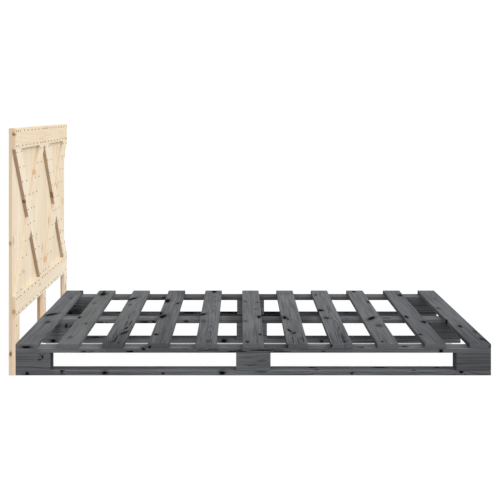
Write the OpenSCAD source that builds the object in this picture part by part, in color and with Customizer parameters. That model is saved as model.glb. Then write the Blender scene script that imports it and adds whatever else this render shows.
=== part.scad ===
// A low bed frame built like a pallet: boards and blocks nailed into a flat base, stained
// grey, and a tall headboard of bare pine that is two boards thick, with two crosses.
// X runs from the headboard to the foot, Y from the near side to the far side, Z up.
// The origin is on the floor under the middle of the whole frame.

/* [Bed] */
// Length of the base, from the headboard to the foot
base_l = 2000; // [1800:10:2200]
// Width of the bed, which the base and the headboard share
bed_w = 1400; // [1200:10:1800]

/* [Base boards] */
// Width of the base boards and of the blocks
board_w = 90; // [80:1:110]
// Thickness of the base boards
board_t = 19; // [16:0.5:28]
// Length of a block along the bed
block_l = 145; // [110:1:180]
// Height of a block
block_h = 76; // [70:1:100]

/* [Headboard] */
// Height of the headboard above the floor
head_h = 1040; // [800:10:1200]
// Thickness of one of the headboard's two layers
layer_t = 14.5; // [12:0.5:20]
// Height of the bottom rail's lower edge, where the planks between the legs end
skirt_z = 241; // [180:1:300]
// Width of the front rails and leg boards
rail_w = 90; // [70:1:110]
// Width of the brace boards, square to their length
brace_w = 90; // [70:1:110]
// Gap between two neighbouring rear planks
plank_gap = 0.5; // [0.3:0.1:1]
// Width of the narrow strip ripped from a plank to fill up to the middle leg
filler_w = 47.5; // [40:0.5:50]

/* [Nails and screws] */
// Diameter of a nail's head
nail_head_d = 7; // [6:0.5:9]
// Thickness of a nail's head
nail_head_t = 1.2; // [1:0.1:2]
// Diameter of a nail's shank
nail_d = 2.8; // [2:0.1:4]
// Wood left in front of the point of a nail that joins two boards
nail_cover = 3; // [2:0.5:5]
// Depth that the long nails reach into a block
nail_bite = 32; // [25:1:34]
// Distance from a nail to its pair's middle line
nail_spread = 22; // [18:1:26]
// Distance from a rail's edge to its row of nails
rail_nail_inset = 13; // [10:1:18]
// Level distance from a brace's edge to its nails
brace_nail_inset = 18; // [14:1:22]
// Height from a leg board's upper end to its nail
leg_nail_drop = 35; // [20:1:50]
// Least distance from a nail to the joint between two rear planks
joint_margin = 6; // [5:0.5:10]
// Diameter of a screw's countersunk head
screw_head_d = 9; // [8:0.5:12]
// Diameter of a screw's shank
screw_d = 5; // [4:0.5:6]
// Depth that a screw reaches into a block
screw_bite = 50; // [40:1:60]
// Distance of each screw from the block's middle height
screw_spread = 20; // [15:1:25]
// Clearance round nails and screws in their holes
hole_clearance = 0.05; // [0.02:0.01:0.1]

/* [Hidden] */

// Rows run along the bed on the near side, in the middle and on the far side. Places are the
// three spots on a row where a block sits.
ROWS = ["near", "middle", "far"];
PLACES = ["head", "centre", "foot"];
SLATS = 11;
PLANKS = 17;
// The planks next after the middle leg's filler and on the far edge are counted from one here
FILLER = 8;
MIDDLE_LEG = 9;
FAR_STRIP = PLANKS;
// Rows of nails on each brace
BRACE_ROWS = 10;
// How far the slats were laid off an even spacing, headboard first
SLAT_DRIFT = [0, -15, -19, -18, -9, 0, -6, -9, -7, 2, 0];

// Smoothness of the nails and screws
$fn = 32;
// How far a cutting shape passes a face, so that it cuts clean through
over = 1;

head_t = 2 * layer_t;
total_l = base_l + head_t;
head_back_x = -total_l / 2;
seam_x = head_back_x + layer_t;
base_x = head_back_x + head_t;

// Heights of the layers of the base
block_z = board_t;
bearer_z = block_z + block_h;
slat_z = bearer_z + board_t;
base_top = slat_z + board_t;
slat_pitch = (base_l - board_w) / (SLATS - 1);

// Heights in the headboard: the two rails and the panel between them
top_rail_z = head_h - rail_w;
cell_z = skirt_z + rail_w;
cell_h = top_rail_z - cell_z;
cell_w = bed_w / 2;

// A filler strip and the far strip together make one plank's share of the width
plank_pitch = bed_w / (PLANKS - 1);

head_nail_l = head_t - nail_cover;
slat_nail_l = 2 * board_t - nail_cover;
block_nail_l = board_t + nail_bite;
screw_l = head_t + screw_bite;

// A brace of width w lies corner to corner in a panel, with its ends sawn level. This is the
// level width of that cut, from the right triangle that the brace's edge makes with the panel.
brace_cut = (sqrt(pow(brace_w, 4) * pow(cell_w, 2)
        + (pow(cell_h, 2) - pow(brace_w, 2)) * pow(brace_w, 2) * (pow(cell_h, 2) + pow(cell_w, 2)))
    - pow(brace_w, 2) * cell_w) / (pow(cell_h, 2) - pow(brace_w, 2));
// Level run of a brace's edge for each millimetre that it climbs
brace_run = (cell_w - brace_cut) / cell_h;

// Start of a row's boards across the bed
function row_y(row) = row == "near" ? -bed_w / 2 : row == "far" ? bed_w / 2 - board_w : -board_w / 2;

// Start of a block along the bed
function place_x(place) = base_x + (place == "head" ? 0
    : place == "foot" ? base_l - block_l
    : (base_l - block_l) / 2);

// The slat that lies over the blocks at a place
function slat_over(place) = place == "head" ? 1 : place == "foot" ? SLATS : (SLATS + 1) / 2;

function slat_x(i) = base_x + (i - 1) * slat_pitch + SLAT_DRIFT[i - 1];
function slat_middle(i) = slat_x(i) + board_w / 2;

// In the headboard u is the distance from its near edge. Planks after the filler start late.
function plank_u(i) = i < MIDDLE_LEG ? (i - 1) * plank_pitch : (i - 2) * plank_pitch + filler_w;
function plank_end(i) = i == PLANKS ? bed_w : plank_u(i + 1) - plank_gap;
function plank_middle(i) = (plank_u(i) + plank_end(i)) / 2;
function reaches_floor(i) = i == 1 || i == MIDDLE_LEG || i == FAR_STRIP;
function is_strip(i) = i == FILLER || i == FAR_STRIP;

// Start of a front leg board
function leg_u(row) = row == "near" ? 0 : row == "far" ? bed_w - rail_w : (bed_w - rail_w) / 2;
// Where the wood of a leg is two boards deep
function leg_nail_u(row) = row == "near" ? nail_spread
    : row == "far" ? plank_middle(FAR_STRIP) : bed_w / 2;
function leg_screw_u(row) = row == "near" ? rail_w / 2
    : row == "far" ? plank_middle(FAR_STRIP) : bed_w / 2;

// Moves a nail sideways off a joint between two rear planks
function off_joint(u) = let (
        close = [for (i = [2:PLANKS]) let (joint = plank_u(i) - plank_gap / 2)
            if (abs(u - joint) < joint_margin) joint]
    ) len(close) == 0 ? u : close[0] + (u < close[0] ? -joint_margin : joint_margin);

// Nails of the headboard, each as [u, z]. A plank has one nail in each of a rail's two rows,
// set on a slant so that the wood doesn't split. A leg's plank has a pair in each row.
function rail_nails(z) = let (low = z + rail_nail_inset, high = z + rail_w - rail_nail_inset) [
    for (i = [1:PLANKS]) let (u = plank_middle(i))
        each is_strip(i) ? [[u, low], [u, high]]
            : reaches_floor(i) ? [for (side = [-1, 1], row = [low, high]) [u + side * nail_spread, row]]
            : [[u - nail_spread, high], [u + nail_spread, low]]
];

// Heights of the rows of nails on a brace, above the panel's lower edge
function brace_rows() = [for (k = [0:BRACE_ROWS - 1])
    rail_nail_inset + k * (cell_h - 2 * rail_nail_inset) / (BRACE_ROWS - 1)];
// Left edge of the falling and of the rising brace at a height
function falling_u(z) = (cell_h - z) * brace_run;
function rising_u(z) = z * brace_run;

function falling_nails(start) = [
    for (z = brace_rows(), du = [brace_nail_inset, brace_cut - brace_nail_inset])
        [off_joint(start + falling_u(z) + du), cell_z + z]
];
// The rising brace is sawn in two where the falling one crosses it, and has no nails there
function rising_nails(start, upper) = [
    for (z = brace_rows(), du = [brace_nail_inset, brace_cut - brace_nail_inset])
        let (u = rising_u(z) + du, lower_side = u < falling_u(z), upper_side = u > falling_u(z) + brace_cut)
            if (upper ? upper_side : lower_side) [off_joint(start + u), cell_z + z]
];
function leg_nail(row) = [leg_nail_u(row), skirt_z - leg_nail_drop];

HEAD_NAILS = concat(
    rail_nails(skirt_z),
    rail_nails(top_rail_z),
    [for (start = [0, cell_w]) each concat(
        falling_nails(start), rising_nails(start, false), rising_nails(start, true))],
    [for (row = ROWS) leg_nail(row)]
);

// Nails of the base, as [x, y]. A slat's pair lies on one slant and the block's pair under it
// lies on the other, so that they miss each other.
function pair(x, y, slant) = [for (side = [-1, 1]) [x + side * nail_spread, y + side * slant * nail_spread]];
function slat_pairs(i) = [for (row = ROWS) each pair(slat_middle(i), row_y(row) + board_w / 2, -1)];
function bearer_pair(row, place) = pair(slat_middle(slat_over(place)), row_y(row) + board_w / 2, 1);
// From below, the pair sits towards the foot, clear of the screws in the blocks at the head
function runner_pair(row, place) = pair(
    place_x(place) + block_l - 2 * nail_spread, row_y(row) + board_w / 2, 1);
function row_pairs(row) = [for (place = PLACES) each bearer_pair(row, place)];

SCREWS = [for (row = ROWS, side = [-1, 1])
    [leg_screw_u(row), block_z + block_h / 2 + side * screw_spread]];

// A nail that points down, with the top of its head at the origin
module nail(length) {
    point_l = 2 * nail_d;
    translate([0, 0, -nail_head_t]) cylinder(d = nail_head_d, h = nail_head_t);
    translate([0, 0, point_l - length]) cylinder(d = nail_d, h = length - point_l);
    translate([0, 0, -length]) cylinder(d1 = nail_d / 4, d2 = nail_d, h = point_l);
}

// The hole that a nail fits, with a recess that leaves its head flush
module nail_hole(length) {
    recess = nail_head_t + hole_clearance;
    depth = length + hole_clearance;
    translate([0, 0, -recess]) cylinder(d = nail_head_d + 2 * hole_clearance, h = recess + over);
    translate([0, 0, -depth]) cylinder(d = nail_d + 2 * hole_clearance, h = depth);
}

// A countersunk screw that points down, with the top of its head at the origin
module screw(length) {
    head_l = (screw_head_d - screw_d) / 2;
    point_l = 2 * screw_d;
    drive_d = screw_d * 0.6;
    difference() {
        union() {
            translate([0, 0, -head_l]) cylinder(d1 = screw_d, d2 = screw_head_d, h = head_l);
            translate([0, 0, point_l - length]) cylinder(d = screw_d, h = length - point_l - head_l);
            translate([0, 0, -length]) cylinder(d1 = screw_d / 4, d2 = screw_d, h = point_l);
        }
        translate([0, 0, -head_l * 0.8]) cylinder(d = drive_d, h = head_l + over, $fn = 6);
    }
}

// The hole that a screw fits: the cone of the head runs on past the face with the same slope
module screw_hole(length) {
    head_l = (screw_head_d - screw_d) / 2;
    wide = 2 * hole_clearance;
    translate([0, 0, -head_l])
        cylinder(d1 = screw_d + wide, d2 = screw_head_d + wide + 2 * over, h = head_l + over);
    translate([0, 0, -length - hole_clearance])
        cylinder(d = screw_d + wide, h = length + hole_clearance);
}

// Places something that points down so that it points into the headboard's front face
module on_front(u, z) {
    translate([base_x, u - bed_w / 2, z]) rotate([0, 90, 0]) children();
}

// The same from the headboard's back
module on_back(u, z) {
    translate([head_back_x, u - bed_w / 2, z]) rotate([0, -90, 0]) children();
}

module head_nail_holes(nails) {
    for (n = nails) on_front(n[0], n[1]) nail_hole(head_nail_l);
}

module screw_holes() {
    for (s = SCREWS) on_back(s[0], s[1]) screw_hole(screw_l);
}

// A flat board of the headboard's front layer, from its outline in u and z
module front_board(outline) {
    translate([seam_x, -bed_w / 2, 0]) rotate([90, 0, 90]) linear_extrude(height = layer_t) polygon(outline);
}

function level_board(u, z, w, h) = [[u, z], [u + w, z], [u + w, z + h], [u, z + h]];

module runner(row) {
    color("dimgray") difference() {
        translate([base_x, row_y(row), 0]) cube([base_l, board_w, board_t]);
        for (place = PLACES, p = runner_pair(row, place))
            translate([p[0], p[1], 0]) rotate([180, 0, 0]) nail_hole(block_nail_l);
    }
}

module block(row, place) {
    color("dimgray") difference() {
        translate([place_x(place), row_y(row), block_z]) cube([block_l, board_w, block_h]);
        for (p = bearer_pair(row, place)) translate([p[0], p[1], slat_z]) nail_hole(block_nail_l);
        for (p = runner_pair(row, place))
            translate([p[0], p[1], 0]) rotate([180, 0, 0]) nail_hole(block_nail_l);
        if (place == "head") screw_holes();
    }
}

module bearer(row) {
    color("gray") difference() {
        translate([base_x, row_y(row), bearer_z]) cube([base_l, board_w, board_t]);
        for (p = row_pairs(row)) translate([p[0], p[1], slat_z]) nail_hole(block_nail_l);
        for (i = [1:SLATS], p = slat_pairs(i))
            if (p[1] > row_y(row) && p[1] < row_y(row) + board_w)
                translate([p[0], p[1], base_top]) nail_hole(slat_nail_l);
    }
}

module slat(i) {
    color("gray") difference() {
        translate([slat_x(i), -bed_w / 2, slat_z]) cube([board_w, bed_w, board_t]);
        for (p = slat_pairs(i)) translate([p[0], p[1], base_top]) nail_hole(slat_nail_l);
    }
}

module rear_plank(i) {
    foot = reaches_floor(i) ? 0 : skirt_z;
    color("burlywood") difference() {
        translate([head_back_x, plank_u(i) - bed_w / 2, foot])
            cube([layer_t, plank_end(i) - plank_u(i), head_h - foot]);
        head_nail_holes([for (n = HEAD_NAILS) if (n[0] > plank_u(i) && n[0] < plank_end(i)) n]);
        if (reaches_floor(i)) screw_holes();
    }
}

module rail(z) {
    color("wheat") difference() {
        front_board(level_board(0, z, bed_w, rail_w));
        head_nail_holes(rail_nails(z));
    }
}

module leg_board(row) {
    color("wheat") difference() {
        front_board(level_board(leg_u(row), 0, rail_w, skirt_z));
        head_nail_holes([leg_nail(row)]);
        screw_holes();
    }
}

// The whole brace of a cross, which falls from the panel's upper near corner
module falling_brace(start) {
    color("wheat") difference() {
        front_board([
            [start, cell_z + cell_h], [start + brace_cut, cell_z + cell_h],
            [start + cell_w, cell_z], [start + cell_w - brace_cut, cell_z]
        ]);
        head_nail_holes(falling_nails(start));
    }
}

// One half of the brace that rises, butted against the whole one. The lower half is drawn,
// and the upper half is the same shape turned half round in the panel.
module rising_half(start, upper) {
    flip = upper ? -1 : 1;
    middle = [start + cell_w / 2, cell_z + cell_h / 2];
    half = [
        [-cell_w / 2, -cell_h / 2],
        [brace_cut - cell_w / 2, -cell_h / 2],
        [0, -brace_cut / (2 * brace_run)],
        [-brace_cut / 2, 0]
    ];
    color("wheat") difference() {
        front_board([for (p = half) middle + flip * p]);
        head_nail_holes(rising_nails(start, upper));
    }
}

module headboard_nails() {
    color("dimgray") for (n = HEAD_NAILS) on_front(n[0], n[1]) nail(head_nail_l);
}

module slat_nails() {
    color("dimgray") for (i = [1:SLATS], p = slat_pairs(i)) translate([p[0], p[1], base_top]) nail(slat_nail_l);
}

module block_nails() {
    color("dimgray") for (row = ROWS, place = PLACES) {
        for (p = bearer_pair(row, place)) translate([p[0], p[1], slat_z]) nail(block_nail_l);
        for (p = runner_pair(row, place))
            translate([p[0], p[1], 0]) rotate([180, 0, 0]) nail(block_nail_l);
    }
}

module headboard_screws() {
    color("silver") for (s = SCREWS) on_back(s[0], s[1]) screw(screw_l);
}

for (row = ROWS) {
    runner(row);
    for (place = PLACES) block(row, place);
    bearer(row);
    leg_board(row);
}
for (i = [1:SLATS]) slat(i);
for (i = [1:PLANKS]) rear_plank(i);
rail(top_rail_z);  // top_rail
rail(skirt_z);  // bottom_rail
falling_brace(0);  // near_brace
rising_half(0, false);  // near_brace_lower_half
rising_half(0, true);  // near_brace_upper_half
falling_brace(cell_w);  // far_brace
rising_half(cell_w, false);  // far_brace_lower_half
rising_half(cell_w, true);  // far_brace_upper_half
headboard_nails();
slat_nails();
block_nails();
headboard_screws();
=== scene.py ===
# %% [markdown]
# # A pallet bed frame with a two-layer headboard
# This lesson dresses a bed frame whose solids come from a CAD model. The base is pine stained
# grey, and the headboard is bare pine. Every board gets eased edges, its own grain and its own
# knots, and the nails and screws get real heads.
# The CAD model is the frame of the scene: each piece is made where its node says it is.

# %% Load the CAD model and keep its box
import math
import random

import bmesh
import bpy
from mathutils import Matrix, Vector


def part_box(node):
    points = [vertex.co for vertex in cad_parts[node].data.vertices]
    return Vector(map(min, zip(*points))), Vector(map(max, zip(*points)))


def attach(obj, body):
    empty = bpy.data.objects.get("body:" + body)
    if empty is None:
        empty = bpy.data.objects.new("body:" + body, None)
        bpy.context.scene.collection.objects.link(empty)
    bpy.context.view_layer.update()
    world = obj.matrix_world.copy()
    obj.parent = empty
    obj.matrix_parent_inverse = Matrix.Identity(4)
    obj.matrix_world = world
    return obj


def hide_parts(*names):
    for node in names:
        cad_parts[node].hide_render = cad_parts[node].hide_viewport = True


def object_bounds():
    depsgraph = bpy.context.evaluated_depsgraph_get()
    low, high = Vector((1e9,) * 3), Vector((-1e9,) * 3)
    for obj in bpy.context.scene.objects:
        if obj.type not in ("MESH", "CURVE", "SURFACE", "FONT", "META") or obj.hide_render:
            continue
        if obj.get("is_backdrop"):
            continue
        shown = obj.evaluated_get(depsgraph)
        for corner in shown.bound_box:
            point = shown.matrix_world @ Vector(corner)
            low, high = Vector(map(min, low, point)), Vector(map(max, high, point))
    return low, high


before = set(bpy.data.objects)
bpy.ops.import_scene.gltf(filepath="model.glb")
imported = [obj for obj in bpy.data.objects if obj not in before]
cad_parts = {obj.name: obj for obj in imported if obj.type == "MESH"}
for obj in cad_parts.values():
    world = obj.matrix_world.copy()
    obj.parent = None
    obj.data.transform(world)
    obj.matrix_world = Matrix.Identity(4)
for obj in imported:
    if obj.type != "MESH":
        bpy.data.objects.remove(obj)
cad_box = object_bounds()
scene = bpy.context.scene
print(len(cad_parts), "nodes in a box from", *[tuple(round(v, 4) for v in c) for c in cad_box])

# %% [markdown]
# ## Two helpers for every tree
# Colours are easiest to choose as the hex values that a screen shows, but Blender works with
# linear light, so one function turns hex into linear. A second one adds a node, gives it its
# settings, and then either links or fills its inputs. With it a tree of nodes reads like a
# list of sums.

# %% Colours and nodes
def linear(hex_colour):
    """A hex colour as the four linear numbers that a colour socket takes."""
    shares = [int(hex_colour[k:k + 2], 16) / 255 for k in (1, 3, 5)]
    return (*[s / 12.92 if s <= 0.04045 else ((s + 0.055) / 1.055) ** 2.4 for s in shares], 1.0)


def add_node(tree, kind, settings=None, inputs=None):
    """Adds a node. An input is given by its name or number, as a value or another node's output."""
    node = tree.nodes.new(kind)
    for name, value in (settings or {}).items():
        setattr(node, name, value)
    for key, value in (inputs or {}).items():
        if isinstance(value, bpy.types.NodeSocket):
            tree.links.new(value, node.inputs[key])
        else:
            node.inputs[key].default_value = value
    return node


def add_sockets(tree, direction, sockets):
    """Adds named inputs or outputs to a tree, as (name, kind) pairs."""
    for name, kind in sockets:
        tree.interface.new_socket(name, in_out=direction, socket_type="NodeSocket" + kind)


print("mid grey in linear light:", [round(v, 3) for v in linear("#808080")])

# %% [markdown]
# ## The camera
# The picture is a side view from about a metre up. Upright edges stay parallel in it, so the
# camera is level, and the bed sits below the middle of the view, so the lens is shifted
# downwards, as on an architect's camera. Tilting the camera would make the uprights lean.

# %% Place the camera
CAMERA_PLACE = (-0.03918, -5.43175, 1.11714)
LENS_MM, FILM_MM = 81.012, 36.0
SHIFT_ASIDE, SHIFT_DOWN = 0.018858, 0.280324
SIGHT = 200.0
camera = bpy.data.objects.new("Camera", bpy.data.cameras.new("Camera"))
camera.data.sensor_width = FILM_MM
camera.data.lens = LENS_MM
camera.data.shift_x = SHIFT_ASIDE
camera.data.shift_y = -SHIFT_DOWN
camera.data.clip_end = SIGHT
camera.location = CAMERA_PLACE
camera.rotation_euler = (math.radians(90), 0, 0)
scene.collection.objects.link(camera)
scene.camera = camera
scene.view_settings.view_transform = "Standard"
print("camera", round(-CAMERA_PLACE[1], 2), "m to the side, lens", LENS_MM, "mm")

# %% [markdown]
# ## Floor and backdrop
# The bed stands in a white studio. Floor and backdrop glow evenly, at just the brightness that
# a screen shows as white: any brighter, and thin boards would look eaten away at their edges.
# The floor is only darker in a strip right beside the middle runner, which is a painted shadow: its glow is
# set lower there. Only the camera sees floor and backdrop. The light on the wood comes from the sky and two
# lamps, so that it can be shaped without changing the white round the bed.
# A flat square and a large ball do, as nothing of them shows but their glow. Both are declared
# as stage, so they never count as pieces of the bed.

# %% White floor and backdrop
FLOOR_GAP, STAGE_REACH = 0.0005, 40.0
FLOOR_GLOW, FLOOR_ALBEDO, BACKDROP_GLOW = 0.96, 0.05, 1.02


def stage_piece(name, form, glow, albedo):
    """A piece of the studio, from a bmesh: it glows by a share of white and takes faint shadows."""
    mesh = bpy.data.meshes.new(name)
    form.to_mesh(mesh)
    form.free()
    piece = bpy.data.objects.new(name, mesh)
    scene.collection.objects.link(piece)
    paint = bpy.data.materials.new(name)
    paint.use_nodes = True
    surface = paint.node_tree.nodes["Principled BSDF"]
    surface.inputs["Base Color"].default_value = (albedo, albedo, albedo, 1)
    surface.inputs["Roughness"].default_value = 1.0
    surface.inputs["Specular IOR Level"].default_value = 0.0
    surface.inputs["Emission Color"].default_value = linear("#ffffff")
    surface.inputs["Emission Strength"].default_value = glow
    mesh.materials.append(paint)
    piece.visible_diffuse = piece.visible_glossy = piece.visible_transmission = False
    piece.visible_shadow = False
    piece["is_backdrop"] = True
    return piece


form = bmesh.new()
form.faces.new([form.verts.new((x * STAGE_REACH, y * STAGE_REACH, -FLOOR_GAP))
                for x, y in ((-1, -1), (1, -1), (1, 1), (-1, 1))])
floor = stage_piece("studio_floor", form, FLOOR_GLOW, FLOOR_ALBEDO)
form = bmesh.new()
bmesh.ops.create_uvsphere(form, u_segments=48, v_segments=24, radius=STAGE_REACH * 1.5)
bmesh.ops.reverse_faces(form, faces=form.faces)
stage_piece("studio_backdrop", form, BACKDROP_GLOW, 0.0)
print("floor", 2 * STAGE_REACH, "m across, with a backdrop all round it")

# %% The painted shadow beside the middle runner
# A painted shadow: the floor glows by less in a strip 24 mm wide along the middle runner.
PAINTED_SHADOW_MIDDLE, PAINTED_SHADOW_REACH, PAINTED_SHADOW_LENGTH, PAINTED_SHADOW_GLOW = -0.055, 0.012, 0.97, 0.45
tree = floor.data.materials[0].node_tree
place = add_node(tree, "ShaderNodeTexCoord").outputs["Object"]
along, across, _ = add_node(tree, "ShaderNodeSeparateXYZ", None, {0: place}).outputs
in_length = add_node(tree, "ShaderNodeMath", {"operation": "COMPARE"},
                     {0: along, 1: 0.0, 2: PAINTED_SHADOW_LENGTH}).outputs[0]
in_width = add_node(tree, "ShaderNodeMath", {"operation": "COMPARE"},
                    {0: across, 1: PAINTED_SHADOW_MIDDLE, 2: PAINTED_SHADOW_REACH}).outputs[0]
painted_shadow = add_node(tree, "ShaderNodeMath", {"operation": "MULTIPLY"}, {0: in_width, 1: in_length}).outputs[0]
glow = add_node(tree, "ShaderNodeMapRange", None,
                {"Value": painted_shadow, "To Min": FLOOR_GLOW, "To Max": PAINTED_SHADOW_GLOW}).outputs[0]
tree.links.new(glow, tree.nodes["Principled BSDF"].inputs["Emission Strength"])
print("the nook is", 2000 * PAINTED_SHADOW_REACH, "mm wide and glows by", PAINTED_SHADOW_GLOW)

# %% [markdown]
# ## Light
# A sky of even, soft light is only a little brighter overhead than at the horizon, like a studio
# with lit walls, which keeps upright faces nearly as light as the tops of the slats. Little light
# comes from below, so the undersides of the braces and the nooks between the boards go dark. Two
# soft lamps do the rest. One stands high on the camera's side, so the near half of the lowest
# board is lit and its far half lies in the shade of the board above. The other stands low beyond
# the foot end and lights the headboard's front.

# %% The sky
SKY_HORIZON, SKY_ZENITH, SKY_BELOW, DUSK = 1.00, 1.25, 0.28, -0.50
world = bpy.data.worlds.new("studio sky")
world.use_nodes = True
scene.world = world
sky = world.node_tree
direction = add_node(sky, "ShaderNodeTexCoord").outputs["Generated"]
height = add_node(sky, "ShaderNodeSeparateXYZ", None, {0: direction}).outputs["Z"]
upper = add_node(sky, "ShaderNodeMapRange", None,
                 {"Value": height, "To Min": SKY_HORIZON, "To Max": SKY_ZENITH}).outputs[0]
above = add_node(sky, "ShaderNodeMapRange", {"interpolation_type": "SMOOTHSTEP"},
                 {"Value": height, "From Min": DUSK, "From Max": 0.0}).outputs[0]
glow = add_node(sky, "ShaderNodeMix", None, {0: above, 2: SKY_BELOW, 3: upper}).outputs[0]
sky.links.new(glow, sky.nodes["Background"].inputs["Strength"])
sky.nodes["Background"].inputs["Color"].default_value = linear("#ffffff")
print("sky", SKY_HORIZON, "at the horizon,", SKY_ZENITH, "overhead and", SKY_BELOW, "below")


# %% Two soft lamps
def add_lamp(name, strength, spread, height, turn):
    """A far, soft lamp: how high it stands and how far it is turned from the foot end, in degrees."""
    lamp = bpy.data.objects.new(name, bpy.data.lights.new(name, "SUN"))
    lamp.data.energy = strength
    lamp.data.angle = math.radians(spread)
    lamp.rotation_euler = (0, math.radians(90 - height), math.radians(turn))
    scene.collection.objects.link(lamp)


add_lamp("near_side_lamp", strength=0.7, spread=25, height=55, turn=-72)
add_lamp("foot_end_lamp", strength=1.65, spread=50, height=28, turn=-12)
print("lamps:", ", ".join(light.name for light in bpy.data.lights))

# %% [markdown]
# ## How a sawn board shows its grain
# A board is cut from a trunk, so its grain is a cut through growth rings: nested tubes round
# the pith, which wander a little as the tree leans. A flat picture of grain would slide over
# edges and ends. Here the rings are a solid pattern in three dimensions, and every face cuts
# through the same tubes: long lines along the board, arches where the cut runs out of a tube,
# and arcs on the end. The same sums serve both finishes, so they are node groups.
# Real rings in such pine are 2 to 4 mm apart. They are drawn about 6 mm apart, because finer
# ones would blur into a flat tone at the size of the picture.

# %% Node groups and long noise
def group_tree(name, inputs, outputs):
    """An empty shader group, with its input and output nodes."""
    tree = bpy.data.node_groups.new(name, "ShaderNodeTree")
    add_sockets(tree, "INPUT", inputs)
    add_sockets(tree, "OUTPUT", outputs)
    return tree, tree.nodes.new("NodeGroupInput").outputs, tree.nodes.new("NodeGroupOutput").inputs


def stretched_noise(tree, place, stretch, detail, output="Fac"):
    """Noise whose grains are as long as stretch says: low numbers are long, in waves per metre."""
    scaled = add_node(tree, "ShaderNodeVectorMath", {"operation": "MULTIPLY"},
                      {0: place, 1: stretch}).outputs[0]
    return add_node(tree, "ShaderNodeTexNoise", None,
                    {"Vector": scaled, "Scale": 1.0, "Detail": detail}).outputs[output]


print("helpers:", group_tree.__name__, "and", stretched_noise.__name__)

# %% [markdown]
# ## The distance from the pith
# The pith is a line that leans and sways, so a point's distance from it tells its year: divided
# by the spacing of the rings, the whole part counts the years and the rest is the time of year.
# A tremble of a millimetre or so keeps the lines from looking drawn with compasses.

# %% Growth rings, part one: the year
PITH_SWAY, SWAY_WAVES = 0.014, (1.3, 4.0, 4.0)
RING_TREMBLE, TREMBLE_WAVES = 0.0015, (7.0, 70.0, 70.0)
rings, given, result = group_tree(
    "Growth rings",
    [("Vector", "Vector"), ("Shift", "Vector"), ("Pith", "Vector"), ("Lean", "Vector"),
     ("Spacing", "Float"), ("Lift", "Float")],
    [("Late wood", "Float"), ("Streak", "Float"), ("Tone", "Float")])
shifted = add_node(rings, "ShaderNodeVectorMath", {"operation": "ADD"},
                   {0: given["Vector"], 1: given["Shift"]}).outputs[0]
sway = stretched_noise(rings, shifted, SWAY_WAVES, 1.0, "Color")
sway = add_node(rings, "ShaderNodeVectorMath", {"operation": "MULTIPLY_ADD"},
                {0: sway, 1: (0, PITH_SWAY, PITH_SWAY), 2: (0, -PITH_SWAY / 2, -PITH_SWAY / 2)}).outputs[0]
along = add_node(rings, "ShaderNodeSeparateXYZ", None, {0: given["Vector"]}).outputs["X"]
leaning = add_node(rings, "ShaderNodeVectorMath", {"operation": "SCALE"},
                   {0: given["Lean"], "Scale": along}).outputs[0]
axis = add_node(rings, "ShaderNodeVectorMath", {"operation": "ADD"},
                {0: given["Pith"], 1: leaning}).outputs[0]
axis = add_node(rings, "ShaderNodeVectorMath", {"operation": "ADD"}, {0: axis, 1: sway}).outputs[0]
off_axis = add_node(rings, "ShaderNodeVectorMath", {"operation": "SUBTRACT"},
                    {0: given["Vector"], 1: axis}).outputs[0]
off_axis = add_node(rings, "ShaderNodeVectorMath", {"operation": "MULTIPLY"},
                    {0: off_axis, 1: (0, 1, 1)}).outputs[0]
radius = add_node(rings, "ShaderNodeVectorMath", {"operation": "LENGTH"}, {0: off_axis}).outputs["Value"]
tremble = stretched_noise(rings, shifted, TREMBLE_WAVES, 1.0)
radius = add_node(rings, "ShaderNodeMath", {"operation": "MULTIPLY_ADD"},
                  {0: tremble, 1: RING_TREMBLE, 2: radius}).outputs[0]
radius = add_node(rings, "ShaderNodeMath", {"operation": "ADD"}, {0: radius, 1: given["Lift"]}).outputs[0]
count = add_node(rings, "ShaderNodeMath", {"operation": "DIVIDE"},
                 {0: radius, 1: given["Spacing"]}).outputs[0]
year = add_node(rings, "ShaderNodeMath", {"operation": "FRACT"}, {0: count}).outputs[0]
print("the year:", len(rings.nodes), "nodes")

# %% [markdown]
# ## Early and late wood
# In spring a pine grows pale, soft wood, and towards autumn it slowly turns to dark, hard wood.
# Then growth stops, so the outer side of a dark line is sharp. Some years are drier than others,
# so each ring gets its own strength. Two more noises along the grain give fine streaks and
# broad changes of tone.

# %% Growth rings, part two: the wood of a year
LATE_START, LATE_FULL, WINTER = 0.35, 0.88, 0.90
YEAR_CHANGE, YEAR_LOW, YEAR_HIGH, WEAKEST_YEAR = 0.45, 0.3, 0.7, 0.25
STREAK_WAVES, TONE_WAVES = (4.0, 170.0, 170.0), (1.4, 11.0, 11.0)
summer = add_node(rings, "ShaderNodeMapRange", {"interpolation_type": "SMOOTHSTEP"},
                  {"Value": year, "From Min": LATE_START, "From Max": LATE_FULL}).outputs[0]
winter = add_node(rings, "ShaderNodeMapRange", {"interpolation_type": "SMOOTHSTEP"},
                  {"Value": year, "From Min": WINTER, "From Max": 1.0,
                   "To Min": 1.0, "To Max": 0.0}).outputs[0]
late = add_node(rings, "ShaderNodeMath", {"operation": "MULTIPLY"}, {0: summer, 1: winter}).outputs[0]
years = add_node(rings, "ShaderNodeTexNoise", {"noise_dimensions": "1D"},
                 {"W": count, "Scale": YEAR_CHANGE, "Detail": 0.0}).outputs["Fac"]
years = add_node(rings, "ShaderNodeMapRange", None,
                 {"Value": years, "From Min": YEAR_LOW, "From Max": YEAR_HIGH,
                  "To Min": WEAKEST_YEAR}).outputs[0]
late = add_node(rings, "ShaderNodeMath", {"operation": "MULTIPLY"}, {0: late, 1: years}).outputs[0]
rings.links.new(late, result["Late wood"])
rings.links.new(stretched_noise(rings, shifted, STREAK_WAVES, 4.0), result["Streak"])
rings.links.new(stretched_noise(rings, shifted, TONE_WAVES, 1.0), result["Tone"])
print("growth rings:", len(rings.nodes), "nodes")

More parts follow.
